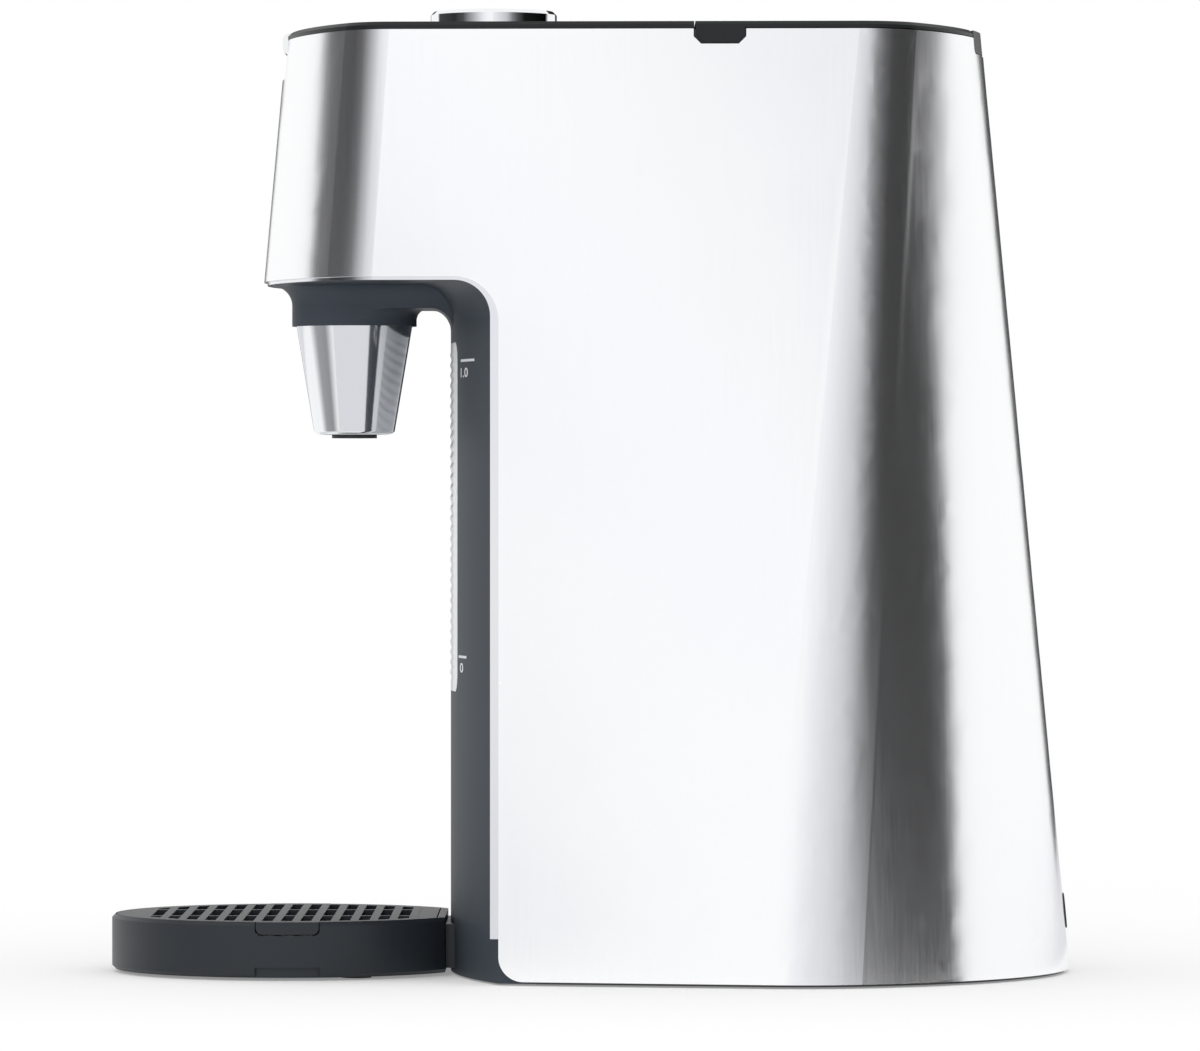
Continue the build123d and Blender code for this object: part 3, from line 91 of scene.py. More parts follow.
def apart(finish):
    """The piece's own coordinates in metres, as separate outputs X, Y and Z."""
    tree = finish.node_tree
    spot = tree.nodes.new("ShaderNodeSeparateXYZ")
    tree.links.new(placed(finish), spot.inputs["Vector"])
    return spot.outputs


def reckoned(finish, operation, *values):
    """The outcome of a sum on node outputs and plain numbers."""
    tree = finish.node_tree
    sum_node = tree.nodes.new("ShaderNodeMath")
    sum_node.operation = operation
    for number, value in enumerate(values):
        if isinstance(value, float):
            sum_node.inputs[number].default_value = value
        else:
            tree.links.new(value, sum_node.inputs[number])
    return sum_node.outputs["Value"]


def spread(finish, value, start, end, low=0.0, high=1.0):
    """A value that goes from low to high while another goes from start to end."""
    tree = finish.node_tree
    ramp = tree.nodes.new("ShaderNodeMapRange")
    ramp.inputs["From Min"].default_value = start
    ramp.inputs["From Max"].default_value = end
    ramp.inputs["To Min"].default_value = low
    ramp.inputs["To Max"].default_value = high
    tree.links.new(value, ramp.inputs["Value"])
    return ramp.outputs["Result"]


def grain(finish, scale, stretch=(1, 1, 1), detail=4.0):
    """Noise over the piece, finer as scale grows and drawn out where stretch is small."""
    tree = finish.node_tree
    noise = tree.nodes.new("ShaderNodeTexNoise")
    noise.inputs["Scale"].default_value = scale
    noise.inputs["Detail"].default_value = detail
    tree.links.new(placed(finish, stretch), noise.inputs["Vector"])
    return noise.outputs["Fac"]


def vary_gloss(finish, value, low, high):
    """Lets the roughness go from low to high with a grain."""
    roughness = shader_of(finish).inputs["Roughness"]
    finish.node_tree.links.new(spread(finish, value, 0.0, 1.0, low, high), roughness)


def tint(finish, value, dark, light):
    """Lets the colour go from dark to light with a grain."""
    tree = finish.node_tree
    ramp = tree.nodes.new("ShaderNodeValToRGB")
    ramp.color_ramp.elements[0].color = (*dark, 1)
    ramp.color_ramp.elements[1].color = (*light, 1)
    tree.links.new(value, ramp.inputs["Fac"])
    tree.links.new(ramp.outputs["Color"], shader_of(finish).inputs["Base Color"])


def emboss(finish, value, depth):
    """Raises the surface by a grain, depth in metres, over any relief it already has."""
    tree = finish.node_tree
    relief = shader_of(finish).inputs["Normal"]
    bump = tree.nodes.new("ShaderNodeBump")
    bump.inputs["Distance"].default_value = depth
    tree.links.new(value, bump.inputs["Height"])
    for link in relief.links:
        tree.links.new(link.from_socket, bump.inputs["Normal"])
    tree.links.new(bump.outputs["Normal"], relief)


def dress(finish, *names):
    """Gives CAD nodes their finish."""
    for name in names:
        slots = nodes[name].data.materials
        slots.clear()
        slots.append(finish)


even = (1.0, 1.0, 1.0)        # a grain with no direction
upright = (1.0, 1.0, 0.02)    # brushed up and down
brush_scale = 900.0
brush_gloss = (0.85, 1.2)     # least and most share of the roughness along the lines
brush_tone = 0.96             # share of the colour in the deepest lines


def brushed_steel(name, colour, roughness, brush, metallic=1.0, depth=0.000004):
    """Steel with fine brush lines, long where brush is small."""
    finish = new_finish(name, colour, roughness, metallic)
    lines = grain(finish, brush_scale, brush)
    vary_gloss(finish, lines, *(roughness * share for share in brush_gloss))
    tint(finish, lines, [part * brush_tone for part in colour], colour)
    emboss(finish, lines, depth)
    return finish


shell_steel = brushed_steel("shell_steel", (0.985, 0.992, 1.0), 0.16, upright, metallic=0.965)

seam_width = 0.0007
seam_depth = 0.00015
behind = 0.1                  # how far back the surface has to be to carry the seam
spot = apart(shell_steel)
off_seam = spread(shell_steel, reckoned(shell_steel, "ABSOLUTE", spot["X"]), 0.0, seam_width)
in_front = reckoned(shell_steel, "LESS_THAN", spot["Y"], behind)
emboss(shell_steel, reckoned(shell_steel, "MAXIMUM", off_seam, in_front), seam_depth)
dress(shell_steel, "outer_shell")


# ---------------------------------------------------------------- bay trim
# A thin band of the same steel, edge-polished, that is spot-welded behind the shell's free edge
# all round the cup bay, so that the raw edge of the sheet never shows.

trim_steel = brushed_steel("trim_steel", (0.84, 0.85, 0.87), 0.14, upright)
dress(trim_steel, "bay_trim")


# ---------------------------------------------------------------- front fascia
# One large ABS moulding in anthracite: column front, hollow rounds, head floor and collar.
# Its mould was spark-eroded to a fine satin, so it has a soft grain and a low sheen.

spark_scale = 2600.0          # the fine grain that the mould leaves
spark_gloss = (0.9, 1.15)     # least and most share of the roughness in that grain
drift_scale = 40.0            # slow drift of the colour over the piece
drift_tone = (0.93, 1.05)     # least and most share of the colour


def moulded_plastic(name, colour, roughness, relief=0.00001):
    """Plastic from a spark-eroded mould: fine relief, and a colour that drifts a little."""
    finish = new_finish(name, colour, roughness)
    fine = grain(finish, spark_scale)
    drift = grain(finish, drift_scale, detail=2.0)
    vary_gloss(finish, fine, *(roughness * share for share in spark_gloss))
    tint(finish, drift, *([part * share for part in colour] for share in drift_tone))
    emboss(finish, fine, relief)
    return finish


anthracite = moulded_plastic("anthracite_plastic", (0.0425, 0.0515, 0.0625), 0.45)
shader_of(anthracite).inputs["Specular IOR Level"].default_value = 0.06
dress(anthracite, "front_fascia")


# ---------------------------------------------------------------- level window
# A pane of frosted SAN glued into the column from behind. Its middle is moulded in level ribs,
# its side borders are plain, and a flange behind the moulding carries the glue and the gasket.
# The plain borders are coloured a lighter grey than the ribbed middle, as a painted highlight.

column_radius = 0.209         # the column's front is bowed to this radius
pane_low, pane_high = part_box("level_window")
pane_flange = 0.004
pane_fit = 0.0002
moulding = 0.0025             # wall of the fascia that the pane fills
flange_thick = 0.0015
pane_round = 0.0058
rib_pitch = 0.0034
rib_rise = 0.0002
rib_half = 0.0215             # half width of the ribbed middle
rib_fade = 0.0015
ribs_low = 0.0975             # the ribs stop short of both ends of the pane
ribs_high = 0.2050
column_nose = pane_low.y


def on_column(across, height, proud=0.0):
    """Point on the column's bowed front, or proud of it."""
    middle = column_nose + column_radius
    return (across, middle - math.sqrt((column_radius + proud) ** 2 - across ** 2), height)


def bowed_plate(mesh, half, low, high, round_off, front, back, rows, columns):
    """Closed plate bowed like the column, with rounded corners and a depth for each face."""
    grid = {}
    for row in range(rows + 1):
        height = low + (high - low) * row / rows
        into_corner = max(0.0, round_off - min(height - low, high - height))
        reach = half - round_off + math.sqrt(round_off ** 2 - into_corner ** 2)
        for column in range(columns + 1):
            across = reach * (2 * column / columns - 1)
            for face, depth in enumerate((front, back)):
                proud = depth(across, height)
                grid[row, column, face] = mesh.verts.new(on_column(across, height, proud))
    for row in range(rows):
        for column in range(columns):
            for face, order in enumerate((1, -1)):
                loop = [grid[row, column, face], grid[row, column + 1, face],
                        grid[row + 1, column + 1, face], grid[row + 1, column, face]]
                mesh.faces.new(loop[::order])
    for row in range(rows):
        for column, order in ((0, 1), (columns, -1)):
            loop = [grid[row, column, 0], grid[row + 1, column, 0],
                    grid[row + 1, column, 1], grid[row, column, 1]]
            mesh.faces.new(loop[::order])
    for column in range(columns):
        for row, order in ((0, -1), (rows, 1)):
            loop = [grid[row, column, 0], grid[row, column + 1, 0],
                    grid[row, column + 1, 1], grid[row, column, 1]]
            mesh.faces.new(loop[::order])


def new_piece(name, mesh, finish, body, smooth=True):
    """Turns a mesh in the making into a piece of the object."""
    data = bpy.data.meshes.new(name)
    mesh.normal_update()
    mesh.to_mesh(data)
    mesh.free()
    for polygon in data.polygons:
        polygon.use_smooth = smooth
    piece = bpy.data.objects.new(name, data)
    scene.collection.objects.link(piece)
    data.materials.append(finish)
    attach(piece, body)
    return piece


def ribbed(across, height):
    """Depth of the pane's face: level ribs in the middle that die away to a plain border."""
    clear = min(rib_half - abs(across), height - ribs_low, ribs_high - height)
    fade = min(1.0, max(0.0, 1.0 + clear / rib_fade))
    return fade * rib_rise * math.cos(2 * math.pi * (height - pane_low.z) / rib_pitch)


# The border's lighter grey is a painted highlight, not a colour of the pane.
ribbed_tone = (0.50, 0.52, 0.55)
border_painted_highlight_tone = (0.80, 0.81, 0.83)
window_frost = moulded_plastic("window_frost", border_painted_highlight_tone, 0.28)
shader_of(window_frost).inputs["Transmission Weight"].default_value = 0.2
shader_of(window_frost).inputs["IOR"].default_value = 1.49
# Painted highlight: the colour turns lighter from the ribbed middle out onto the plain borders.
off_middle = reckoned(window_frost, "ABSOLUTE", apart(window_frost)["X"])
painted_highlight_share = spread(window_frost, off_middle, rib_half, rib_half + rib_fade)
tint(window_frost, painted_highlight_share, ribbed_tone, border_painted_highlight_tone)

face_rows = 340               # ten rows to a rib
face_columns = 44
flange_rows = 32
flange_columns = 24
pane = bmesh.new()
bowed_plate(pane, pane_high.x - pane_flange - pane_fit, pane_low.z + pane_flange + pane_fit,
            pane_high.z - pane_flange - pane_fit, pane_round,
            ribbed, lambda across, height: -moulding, face_rows, face_columns)
bowed_plate(pane, pane_high.x, pane_low.z, pane_high.z, pane_round + pane_flange,
            lambda across, height: -moulding, lambda across, height: -moulding - flange_thick,
            flange_rows, flange_columns)
window_pane = new_piece("window_pane", pane, window_frost, "housing")
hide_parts("level_window")

gasket_rubber = moulded_plastic("gasket_rubber", (0.03, 0.03, 0.03), 0.75)
dress(gasket_rubber, "window_gasket")


# ---------------------------------------------------------------- level marks
# Pad-printed in light grey beside the window: a long line for the full tank, a short one for the
# empty tank, and a plain figure in litres under each. The ink film follows the bowed column.

ink_proud = 0.00004
ink_step = 0.0015             # longest stretch of ink without a corner of its own
tick_half = 0.00042           # half width of a printed line
full_height = 0.2024
full_line = (0.0410, 0.0600)  # where the line starts and ends across the column
empty_height = 0.1053
empty_line = (0.0370, 0.0500)


def stroke(mesh, first, last, low, high):
    """A printed bar, cut into short stretches so that it follows the bow."""
    steps = max(1, math.ceil((last - first) / ink_step))
    edge = []
    for step in range(steps + 1):
        across = first + (last - first) * step / steps
        edge.append([mesh.verts.new((across, 0, height)) for height in (low, high)])
    for left, right in zip(edge, edge[1:]):
        mesh.faces.new((left[0], right[0], right[1], left[1]))


def figures(mesh, words, first, low, height, width, bold=0.0):
    """Plain figures as flat faces, from their lower left corner, with a set height and width."""
    line = bpy.data.curves.new("figures", "FONT")
    line.body = words
    line.offset = bold
    carrier = bpy.data.objects.new("figures", line)
    scene.collection.objects.link(carrier)
    flat = bpy.data.meshes.new_from_object(carrier)
    bpy.data.objects.remove(carrier)
    points = [v.co for v in flat.vertices]
    left = min(p.x for p in points)
    base = min(p.y for p in points)
    broad = max(p.x for p in points) - left
    tall = max(p.y for p in points) - base
    corners = [mesh.verts.new((first + (p.x - left) * width / broad, 0,
                               low + (p.y - base) * height / tall)) for p in points]
    for polygon in flat.polygons:
        mesh.faces.new([corners[i] for i in polygon.vertices])
    bpy.data.meshes.remove(flat)


ink = moulded_plastic("ink", (0.60, 0.62, 0.65), 0.55, relief=0.000004)
marks = bmesh.new()
stroke(marks, *full_line, full_height - tick_half, full_height + tick_half)
figures(marks, "1.0", full_line[0], full_height - 0.0055, height=0.0031, width=0.0110,
        bold=0.02)
stroke(marks, *empty_line, empty_height - tick_half, empty_height + tick_half)
figures(marks, "0", empty_line[0] + 0.0025, empty_height - 0.0052, height=0.0032,
        width=0.0056, bold=0.025)
for corner in marks.verts:
    corner.co = Vector(on_column(corner.co.x, corner.co.z, ink_proud))
new_piece("level_marks", marks, ink, "housing", smooth=False)


# ---------------------------------------------------------------- spout
# A deep-drawn brass cone, chrome plated, clipped up into the collar. Inside it hangs the black
# silicone outlet tube in its insert, so that hot water never touches the metal.

chrome_tone = (0.90, 0.915, 0.93)
chrome = brushed_steel("chrome", chrome_tone, 0.11, even, depth=0.0000015)
dress(chrome, "spout_shroud")

outlet_silicone = moulded_plastic("outlet_silicone", (0.020, 0.021, 0.024), 0.5)
dress(outlet_silicone, "spout_tube", "spout_insert")


# ---------------------------------------------------------------- outlet chamber
# Steam separator of natural PPS over the spout: it takes the boiling water from the heater and
# lets the steam go back to the tank through its own short hose.

natural_plastic = moulded_plastic("natural_plastic", (0.78, 0.76, 0.70), 0.38)
dress(natural_plastic, "outlet_chamber")


# ---------------------------------------------------------------- base plate
# Glass-filled polypropylene plate in black that closes the shell from below, with a coarser
# moulded grain, seven air slots and four screws up into the legs of the tank shelf.

plate_plastic = moulded_plastic("plate_plastic", (0.024, 0.025, 0.028), 0.55, relief=0.00003)
dress(plate_plastic, "base_plate")

zinc = brushed_steel("zinc_plate", (0.62, 0.64, 0.66), 0.32, even)
dress(zinc, "case_screws", "board_screws")


# ---------------------------------------------------------------- feet
# Black nitrile rubber discs pressed into round recesses: four under the base plate and three
# thinner ones under the drip tray. They are dull, and a little dusty from the worktop.

foot_rubber = moulded_plastic("foot_rubber", (0.028, 0.028, 0.028), 0.8, relief=0.00002)
dress(foot_rubber, "rubber_feet", "tray_feet")


# ---------------------------------------------------------------- tank shelf
# Ribbed moulding in black polypropylene on four legs. It carries the water tank over the heater
# and the pump, and its legs take the case screws.

shelf_plastic = moulded_plastic("shelf_plastic", (0.035, 0.036, 0.039), 0.6)
dress(shelf_plastic, "tank_shelf")


# ---------------------------------------------------------------- water tank
# Blow-moulded in clear copolyester with a slight blue cast. Its welded top has the filling mouth.
# A fine strainer of white acetal stands over the outlet.

tank_plastic = moulded_plastic("tank_plastic", (0.78, 0.84, 0.88), 0.16, relief=0.000006)
shader_of(tank_plastic).inputs["Transmission Weight"].default_value = 0.72
shader_of(tank_plastic).inputs["IOR"].default_value = 1.54
dress(tank_plastic, "water_tank", "tank_top")

acetal = moulded_plastic("acetal", (0.80, 0.80, 0.78), 0.35)
dress(acetal, "tank_strainer")


# ---------------------------------------------------------------- pump
# A small centrifugal pump: white housing and impeller, a plated can motor on a steel shaft, all
# held in a rubber cradle that keeps its hum from the base plate.

dress(acetal, "pump_housing", "pump_impeller")
can_steel = brushed_steel("can_steel", (0.66, 0.67, 0.69), 0.26, (0.02, 0.02, 1.0))
dress(can_steel, "pump_motor")
ground_steel = brushed_steel("ground_steel", (0.72, 0.73, 0.74), 0.18, (1.0, 0.02, 1.0))
dress(ground_steel, "pump_shaft")
dress(foot_rubber, "pump_cradle")


# ---------------------------------------------------------------- heater
# Flow heater: an aluminium extrusion with the sheathed element in one lobe and the water pipe in
# the other, on two folded brackets, with two thermal cutouts clamped to its top.

cast_aluminium = brushed_steel("cast_aluminium", (0.70, 0.71, 0.72), 0.42, (1.0, 0.05, 1.0),
                               depth=0.00001)
dress(cast_aluminium, "flow_heater")
sheath_steel = brushed_steel("sheath_steel", (0.42, 0.40, 0.38), 0.36, even)
dress(sheath_steel, "heating_element")
dress(ground_steel, "water_pipe")
folded_steel = brushed_steel("folded_steel", (0.60, 0.61, 0.62), 0.3, (1.0, 0.02, 1.0))
dress(folded_steel, "heater_brackets")
ceramic = moulded_plastic("ceramic", (0.70, 0.66, 0.58), 0.5)
dress(ceramic, "thermal_cutouts")


# ---------------------------------------------------------------- hoses
# Translucent food-grade silicone hoses, extruded, pushed on to their nipples: tank to pump, pump
# to heater, heater to outlet chamber, and a steam return to the tank.

hose_silicone = moulded_plastic("hose_silicone", (0.80, 0.80, 0.77), 0.42)
shader_of(hose_silicone).inputs["Subsurface Weight"].default_value = 0.2
shader_of(hose_silicone).inputs["Subsurface Scale"].default_value = 0.002
dress(hose_silicone, "inlet_hose", "pump_hose", "hot_hose", "steam_hose")


# ---------------------------------------------------------------- boards
# Two glass-epoxy boards with green solder mask: the power board with its relay, capacitors and
# heat sink low in the front, and the control board under the panel with the knob's encoder.

def layered(finish, axis, levels, colours):
    """Paints a piece in layers along an axis: each colour starts at its level, in metres."""
    tree = finish.node_tree
    place = spread(finish, apart(finish)[axis], levels[0], levels[-1])
    ramp = tree.nodes.new("ShaderNodeValToRGB")
    ramp.color_ramp.interpolation = "CONSTANT"
    stops = ramp.color_ramp.elements
    stops.remove(stops[1])
    for level, colour in zip(levels, colours):
        stop = stops.new((level - levels[0]) / (levels[-1] - levels[0]))
        stop.color = (*colour, 1)
    stops.remove(stops[0])
    tree.links.new(place, ramp.inputs["Fac"])
    tree.links.new(ramp.outputs["Color"], shader_of(finish).inputs["Base Color"])


board_thick = 0.0016
sleeve_start = 0.8            # share of the parts' height where the grey sleeves begin
mask_green = (0.015, 0.13, 0.06)
case_black = (0.018, 0.018, 0.02)
sleeve_grey = (0.30, 0.31, 0.33)
for board in ("control_board", "power_board"):
    board_low, board_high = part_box(board)
    laminate = moulded_plastic(board + "_laminate", mask_green, 0.3)
    layered(laminate, "Z",
            (board_low.z, board_low.z + board_thick * 1.05,
             board_low.z + board_thick + (board_high.z - board_low.z) * sleeve_start,
             board_high.z),
            (mask_green, case_black, sleeve_grey))
    dress(laminate, board)
dress(can_steel, "rotary_encoder", "encoder_shaft")


# ---------------------------------------------------------------- top frame
# Black frame snapped into the top of the shell. It holds the control panel in front and carries
# the lid's hinge at the back, with a drip edge round the filling mouth.

frame_plastic = moulded_plastic("frame_plastic", (0.026, 0.029, 0.034), 0.42)
dress(frame_plastic, "top_frame")


# ---------------------------------------------------------------- control panel
# Black ABS cover plate over the control board, with a closer satin than the fascia's. A scale of
# volumes is printed round the knob: eleven ticks, with plain figures at every other one.

top_plastic = moulded_plastic("top_plastic", (0.012, 0.0138, 0.0145), 0.36)
shader_of(top_plastic).inputs["Specular IOR Level"].default_value = 0.2
dress(top_plastic, "control_panel")

dial_low, dial_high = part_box("dial_cap")
dial_axis = (dial_low + dial_high) / 2
dial_radius = (dial_high.x - dial_low.x) / 2
panel_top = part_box("control_panel")[1].z
dial_sweep = math.radians(270)
scale_steps = 10
tick_start = dial_radius + 0.0030
tick_long = 0.0032
tick_short = 0.6              # share of the long tick's length at the steps with no figure
figure_place = dial_radius + 0.0100
figure_tall = 0.0034
figure_broad = 0.6            # share of the figure's height
figure_slender = 0.25         # the same for the figure 1
scale_height = panel_top + ink_proud

scale = bmesh.new()
for step in range(scale_steps + 1):
    numbered = step % 2 == 0
    turn = dial_sweep * (step / scale_steps - 0.5)
    away = Vector((-math.sin(turn), -math.cos(turn), 0))
    aside = Vector((away.y, -away.x, 0))
    reach = tick_long if numbered else tick_long * tick_short
    corners = []
    for out, over in ((0, -1), (0, 1), (1, 1), (1, -1)):
        corner = away * (tick_start + reach * out) + aside * tick_half * over
        corners.append(scale.verts.new((dial_axis.x + corner.x, dial_axis.y + corner.y,
                                        scale_height)))
    scale.faces.new(corners)
    if numbered:
        figure = bmesh.new()
        broad = figure_tall * (figure_slender if step == 0 else figure_broad)
        figures(figure, str(1 + step // 2), 0, 0, figure_tall, broad)
        centre = away * figure_place
        for point in figure.verts:
            point.co = Vector((dial_axis.x + centre.x + (point.co.x - broad / 2),
                               dial_axis.y + centre.y + (point.co.z - figure_tall / 2),
                               scale_height))
        plate = bpy.data.meshes.new("figure")
        figure.to_mesh(plate)
        figure.free()
        scale.from_mesh(plate)
        bpy.data.meshes.remove(plate)
bmesh.ops.recalc_face_normals(scale, faces=scale.faces)
for face in scale.faces:
    if face.normal.z < 0:
        face.normal_flip()
new_piece("dial_scale", scale, ink, "housing", smooth=False)


# ---------------------------------------------------------------- volume knob
# A solid turned cap, chrome plated, with a spun face and a milled pointer groove filled with
# black lacquer. It is pressed over a black hub on the encoder's shaft.

knob_chrome = new_finish("knob_chrome", chrome_tone, 0.06, metallic=1.0)
tree = knob_chrome.node_tree
rings = tree.nodes.new("ShaderNodeTexWave")
rings.wave_type = "RINGS"
rings.rings_direction = "Z"
rings.inputs["Scale"].default_value = 700.0
rings.inputs["Distortion"].default_value = 0.6
rings.inputs["Detail"].default_value = 3.0
tree.links.new(placed(knob_chrome, shift=tuple(dial_axis)), rings.inputs["Vector"])
emboss(knob_chrome, rings.outputs["Fac"], depth=0.000002)
vary_gloss(knob_chrome, rings.outputs["Fac"], low=0.045, high=0.075)
dress(knob_chrome, "dial_cap")
dress(outlet_silicone, "dial_hub")

lacquer = moulded_plastic("lacquer", (0.018, 0.018, 0.02), 0.3, relief=0.000004)
lacquer_clear = 0.0003        # the lacquer stays this far inside the groove, all told
lacquer_thick = 0.00015
groove_place = 0.0147
groove_long = 0.0090 - lacquer_clear
groove_wide = 0.0016 - lacquer_clear
lacquer_top = cad_high.z - lacquer_clear
groove_steps = 10
fill = bmesh.new()
rim = []
for end in (-1, 1):
    for step in range(groove_steps + 1):
        turn = math.pi * (step / groove_steps - 0.5)
        beyond = (groove_long - groove_wide) / 2 + groove_wide / 2 * math.cos(turn)
        rim.append((dial_axis.x - end * groove_wide / 2 * math.sin(turn),
                    dial_axis.y - groove_place + end * beyond))
lower = [fill.verts.new((x, y, lacquer_top - lacquer_thick)) for x, y in rim]
upper = [fill.verts.new((x, y, lacquer_top)) for x, y in rim]
fill.faces.new(upper)
fill.faces.new(lower[::-1])
for here in range(len(rim)):
    after = (here + 1) % len(rim)
    fill.faces.new((lower[here], lower[after], upper[after], upper[here]))
bmesh.ops.recalc_face_normals(fill, faces=fill.faces)
new_piece("pointer_fill", fill, lacquer, "dial", smooth=False)


# ---------------------------------------------------------------- start key
# The start key is a chromed bar that hangs over the front edge of the panel on a leaf spring,
# and works a small tact switch on the control board.

dress(chrome, "start_key")
spring_steel = brushed_steel("spring_steel", (0.58, 0.58, 0.58), 0.25, even)
dress(spring_steel, "start_key_spring")
dress(outlet_silicone, "start_switch")


# ---------------------------------------------------------------- lid
# Black ABS cover with two finger tabs and a hinge barrel at the back, a black liner under it,
# and a soft seal that closes the filling mouth. It turns on one plain steel pin.

dress(top_plastic, "lid_cover")
dress(shelf_plastic, "lid_liner")
dress(hose_silicone, "lid_seal")
dress(ground_steel, "lid_hinge_pin")


# ---------------------------------------------------------------- drip tray
# Deep tray in anthracite ABS, held to the column's foot by two tongues, under a loose grille with
# crosswise slats. Both have a darker and closer satin than the fascia.

tray_plastic = moulded_plastic("tray_plastic", (0.0158, 0.0198, 0.0245), 0.4)
shader_of(tray_plastic).inputs["Specular IOR Level"].default_value = 0.32
dress(tray_plastic, "drip_tray", "drip_grille", "tray_bracket")


# ---------------------------------------------------------------- cord gland
# Strain relief for the mains lead, in soft black PVC, snapped through the shell low at the back.

soft_vinyl = moulded_plastic("soft_vinyl", (0.02, 0.02, 0.022), 0.6, relief=0.00002)
dress(soft_vinyl, "cord_gland")


# ---------------------------------------------------------------- studio
# A plain white floor, even white light from all round, and a weak lamp low at the right. Dark
# cards stand at the side corners and behind, which the steel mirrors as its upright bands. A pale
# one in front serves the chrome cone, and a grey one lies round the object on the counter.

floor_size = 40.0
floor_mesh = bmesh.new()
bmesh.ops.create_grid(floor_mesh, x_segments=1, y_segments=1, size=floor_size / 2)
floor_data = bpy.data.meshes.new("floor")
floor_mesh.to_mesh(floor_data)
floor_mesh.free()
floor = bpy.data.objects.new("floor", floor_data)
scene.collection.objects.link(floor)
floor_paint = new_finish("floor_paint", (1.0, 1.0, 1.0), 0.9)
shader_of(floor_paint).inputs["Specular IOR Level"].default_value = 0.0
floor_lift = 0.25             # share of plain white in the floor that the camera and metal see
tree = floor_paint.node_tree
plain = tree.nodes.new("ShaderNodeEmission")
seen = tree.nodes.new("ShaderNodeLightPath").outputs
direct = reckoned(floor_paint, "MAXIMUM", seen["Is Camera Ray"], seen["Is Glossy Ray"])
any_sight = reckoned(floor_paint, "MAXIMUM", direct, seen["Is Transmission Ray"])
mix = tree.nodes.new("ShaderNodeMixShader")
tree.links.new(reckoned(floor_paint, "MULTIPLY", any_sight, floor_lift), mix.inputs["Fac"])
tree.links.new(shader_of(floor_paint).outputs["BSDF"], mix.inputs[1])
tree.links.new(plain.outputs["Emission"], mix.inputs[2])
tree.links.new(mix.outputs["Shader"], tree.nodes["Material Output"].inputs["Surface"])
floor_data.materials.append(floor_paint)

sky = bpy.data.worlds.new("white_studio")
scene.world = sky
sky.use_nodes = True
white = sky.node_tree.nodes["Background"]
white.inputs["Color"].default_value = (1, 1, 1, 1)
white.inputs["Strength"].default_value = 1.0


def card(name, edges, shades):
    """A card bent round the object, which only mirror rays see.

    edges: distance and height in metres, and the azimuth of the card's start, half and end there
    in degrees, one row for each level from one end of the card to the other.
    shades: place across the card from 0 to 1, and how bright it is there.
    """
    half_steps = 12
    coolness = 1.04           # the cards are a touch blue
    steps = 2 * half_steps
    mesh = bmesh.new()
    across = mesh.loops.layers.uv.new("across")
    rows = []
    for distance, height, first, half, last in edges:
        row = []
        for step in range(-half_steps, half_steps + 1):
            reach = half - first if step < 0 else last - half
            turn = math.radians(half + reach * step / half_steps)
            row.append(mesh.verts.new((distance * math.cos(turn), distance * math.sin(turn),
                                       height)))
        rows.append(row)
    for level, (low, high) in enumerate(zip(rows, rows[1:])):
        for step in range(steps):
            face = mesh.faces.new((low[step], low[step + 1], high[step + 1], high[step]))
            for loop, (u, v) in zip(face.loops, ((0, 0), (1, 0), (1, 1), (0, 1))):
                loop[across].uv = ((step + u) / steps, (level + v) / (len(rows) - 1))
    data = bpy.data.meshes.new(name)
    mesh.to_mesh(data)
    mesh.free()
    sheet = bpy.data.objects.new(name, data)
    scene.collection.objects.link(sheet)
    paint = bpy.data.materials.new(name + "_paint")
    paint.use_nodes = True
    tree = paint.node_tree
    tree.nodes.clear()
    place = tree.nodes.new("ShaderNodeUVMap")
    place.uv_map = "across"
    spot = tree.nodes.new("ShaderNodeSeparateXYZ")
    ramp = tree.nodes.new("ShaderNodeValToRGB")
    stops = ramp.color_ramp.elements
    for place_across, shade in shades[1:-1]:
        stops.new(place_across)
    for stop, (place_across, shade) in zip(stops, shades):
        stop.position = place_across
        stop.color = (shade, shade, min(1.0, shade * coolness), 1)
    glow = tree.nodes.new("ShaderNodeEmission")
    out = tree.nodes.new("ShaderNodeOutputMaterial")
    tree.links.new(place.outputs["UV"], spot.inputs["Vector"])
    tree.links.new(spot.outputs["X"], ramp.inputs["Fac"])
    tree.links.new(ramp.outputs["Color"], glow.inputs["Color"])
    tree.links.new(glow.outputs["Emission"], out.inputs["Surface"])
    data.materials.append(paint)
    for kind in ("camera", "diffuse", "shadow", "transmission", "volume_scatter"):
        setattr(sheet, "visible_" + kind, False)


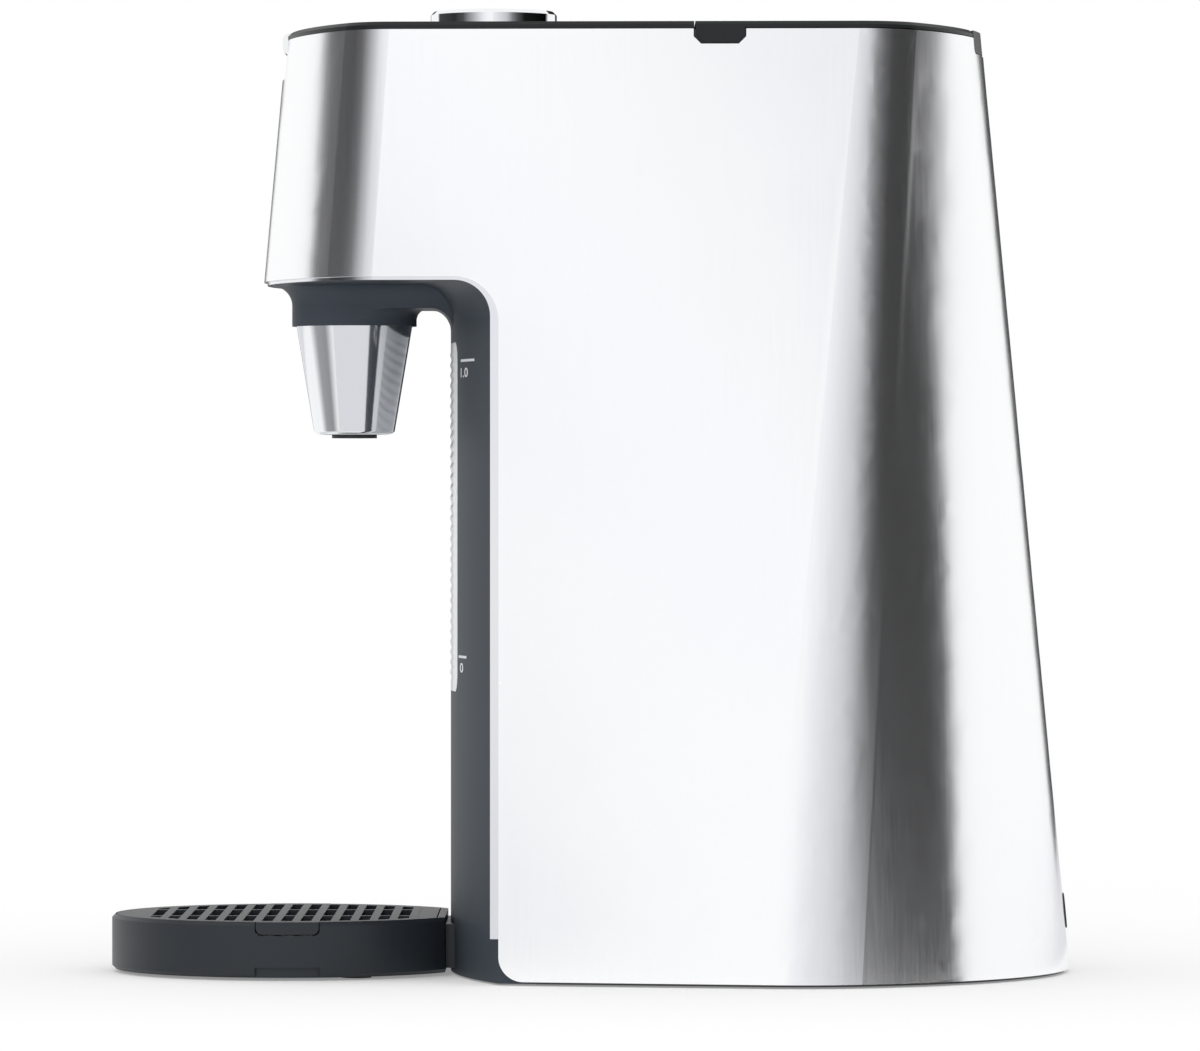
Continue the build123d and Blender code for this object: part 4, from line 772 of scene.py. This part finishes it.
card("rear_card",
     ((1.0, -0.2, -14, 34, 68), (1.0, 0.05, -9, 37, 77), (1.0, 0.11, -9, 38.5, 81.5),
      (1.0, 0.184, -9, 40, 87), (1.0, 0.272, -9, 40, 95.5), (1.0, 0.324, -7, 37.5, 105.5),
      (1.0, 0.365, -5, 34, 115), (1.0, 0.42, -5, 30.5, 126), (1.0, 1.2, -5, 30.5, 126)),
     ((0.0, 1.0), (0.14, 0.80), (0.25, 0.70), (0.36, 0.58), (0.42, 0.44), (0.50, 0.22),
      (0.56, 0.08), (0.64, 0.01), (0.96, 0.0), (1.0, 0.7)))
card("front_card",
     ((1.0, 0.2, -114, -63, -5), (1.0, 0.30, -114, -63, -5), (1.0, 0.36, -118, -69, -8),
      (1.0, 0.42, -123, -73, -10), (1.0, 1.2, -123, -73, -10)),
     ((0.0, 0.5), (0.04, 0.06), (0.45, 0.03), (0.605, 0.08), (0.763, 0.45), (0.90, 0.86),
      (0.95, 0.96), (1.0, 1.0)))
card("cup_card",
     ((0.42, 0.0, -180, -98, -50), (0.42, 0.17, -180, -98, -50)),
     ((0.0, 1.0), (0.5, 1.0), (0.65, 0.36), (0.85, 0.30), (1.0, 1.0)))
card("back_card",
     ((1.6, -0.2, 152, 175, 198), (1.6, 1.2, 152, 175, 198)),
     ((0.0, 0.5), (0.1, 0.02), (0.9, 0.02), (1.0, 0.5)))
card("counter_card",
     ((0.24, 0.002, -180, 0, 180), (6.0, 0.002, -180, 0, 180)),
     ((0.0, 0.76), (1.0, 0.76)))


lamp_data = bpy.data.lights.new("side_fill", "AREA")
lamp_data.energy = 16.0
lamp_data.shape = "RECTANGLE"
lamp_data.size = 1.2
lamp_data.size_y = 0.25
lamp = bpy.data.objects.new("side_fill", lamp_data)
scene.collection.objects.link(lamp)
lamp.location = (2.0, -0.4, 0.15)
lit_middle = Vector((0, 0, 0.2))
lamp.rotation_euler = (lit_middle - lamp.location).to_track_quat("-Z", "Y").to_euler()
lamp.visible_glossy = False


# ---------------------------------------------------------------- camera
# Level with the middle of the body and square to its right side, far enough off for the mild
# perspective that a long lens gives.

view_distance = 2.6
view_aside = 0.0031           # towards the back
view_height = 0.1567
camera_data = bpy.data.cameras.new("side_camera")
camera = bpy.data.objects.new("side_camera", camera_data)
scene.collection.objects.link(camera)
camera.location = (view_distance, view_aside, view_height)
camera.rotation_euler = (math.pi / 2, 0, math.pi / 2)
camera_data.lens = 234.0
camera_data.sensor_width = 36.0
camera_data.shift_y = -0.0212
scene.camera = camera
scene.view_settings.view_transform = "Standard"
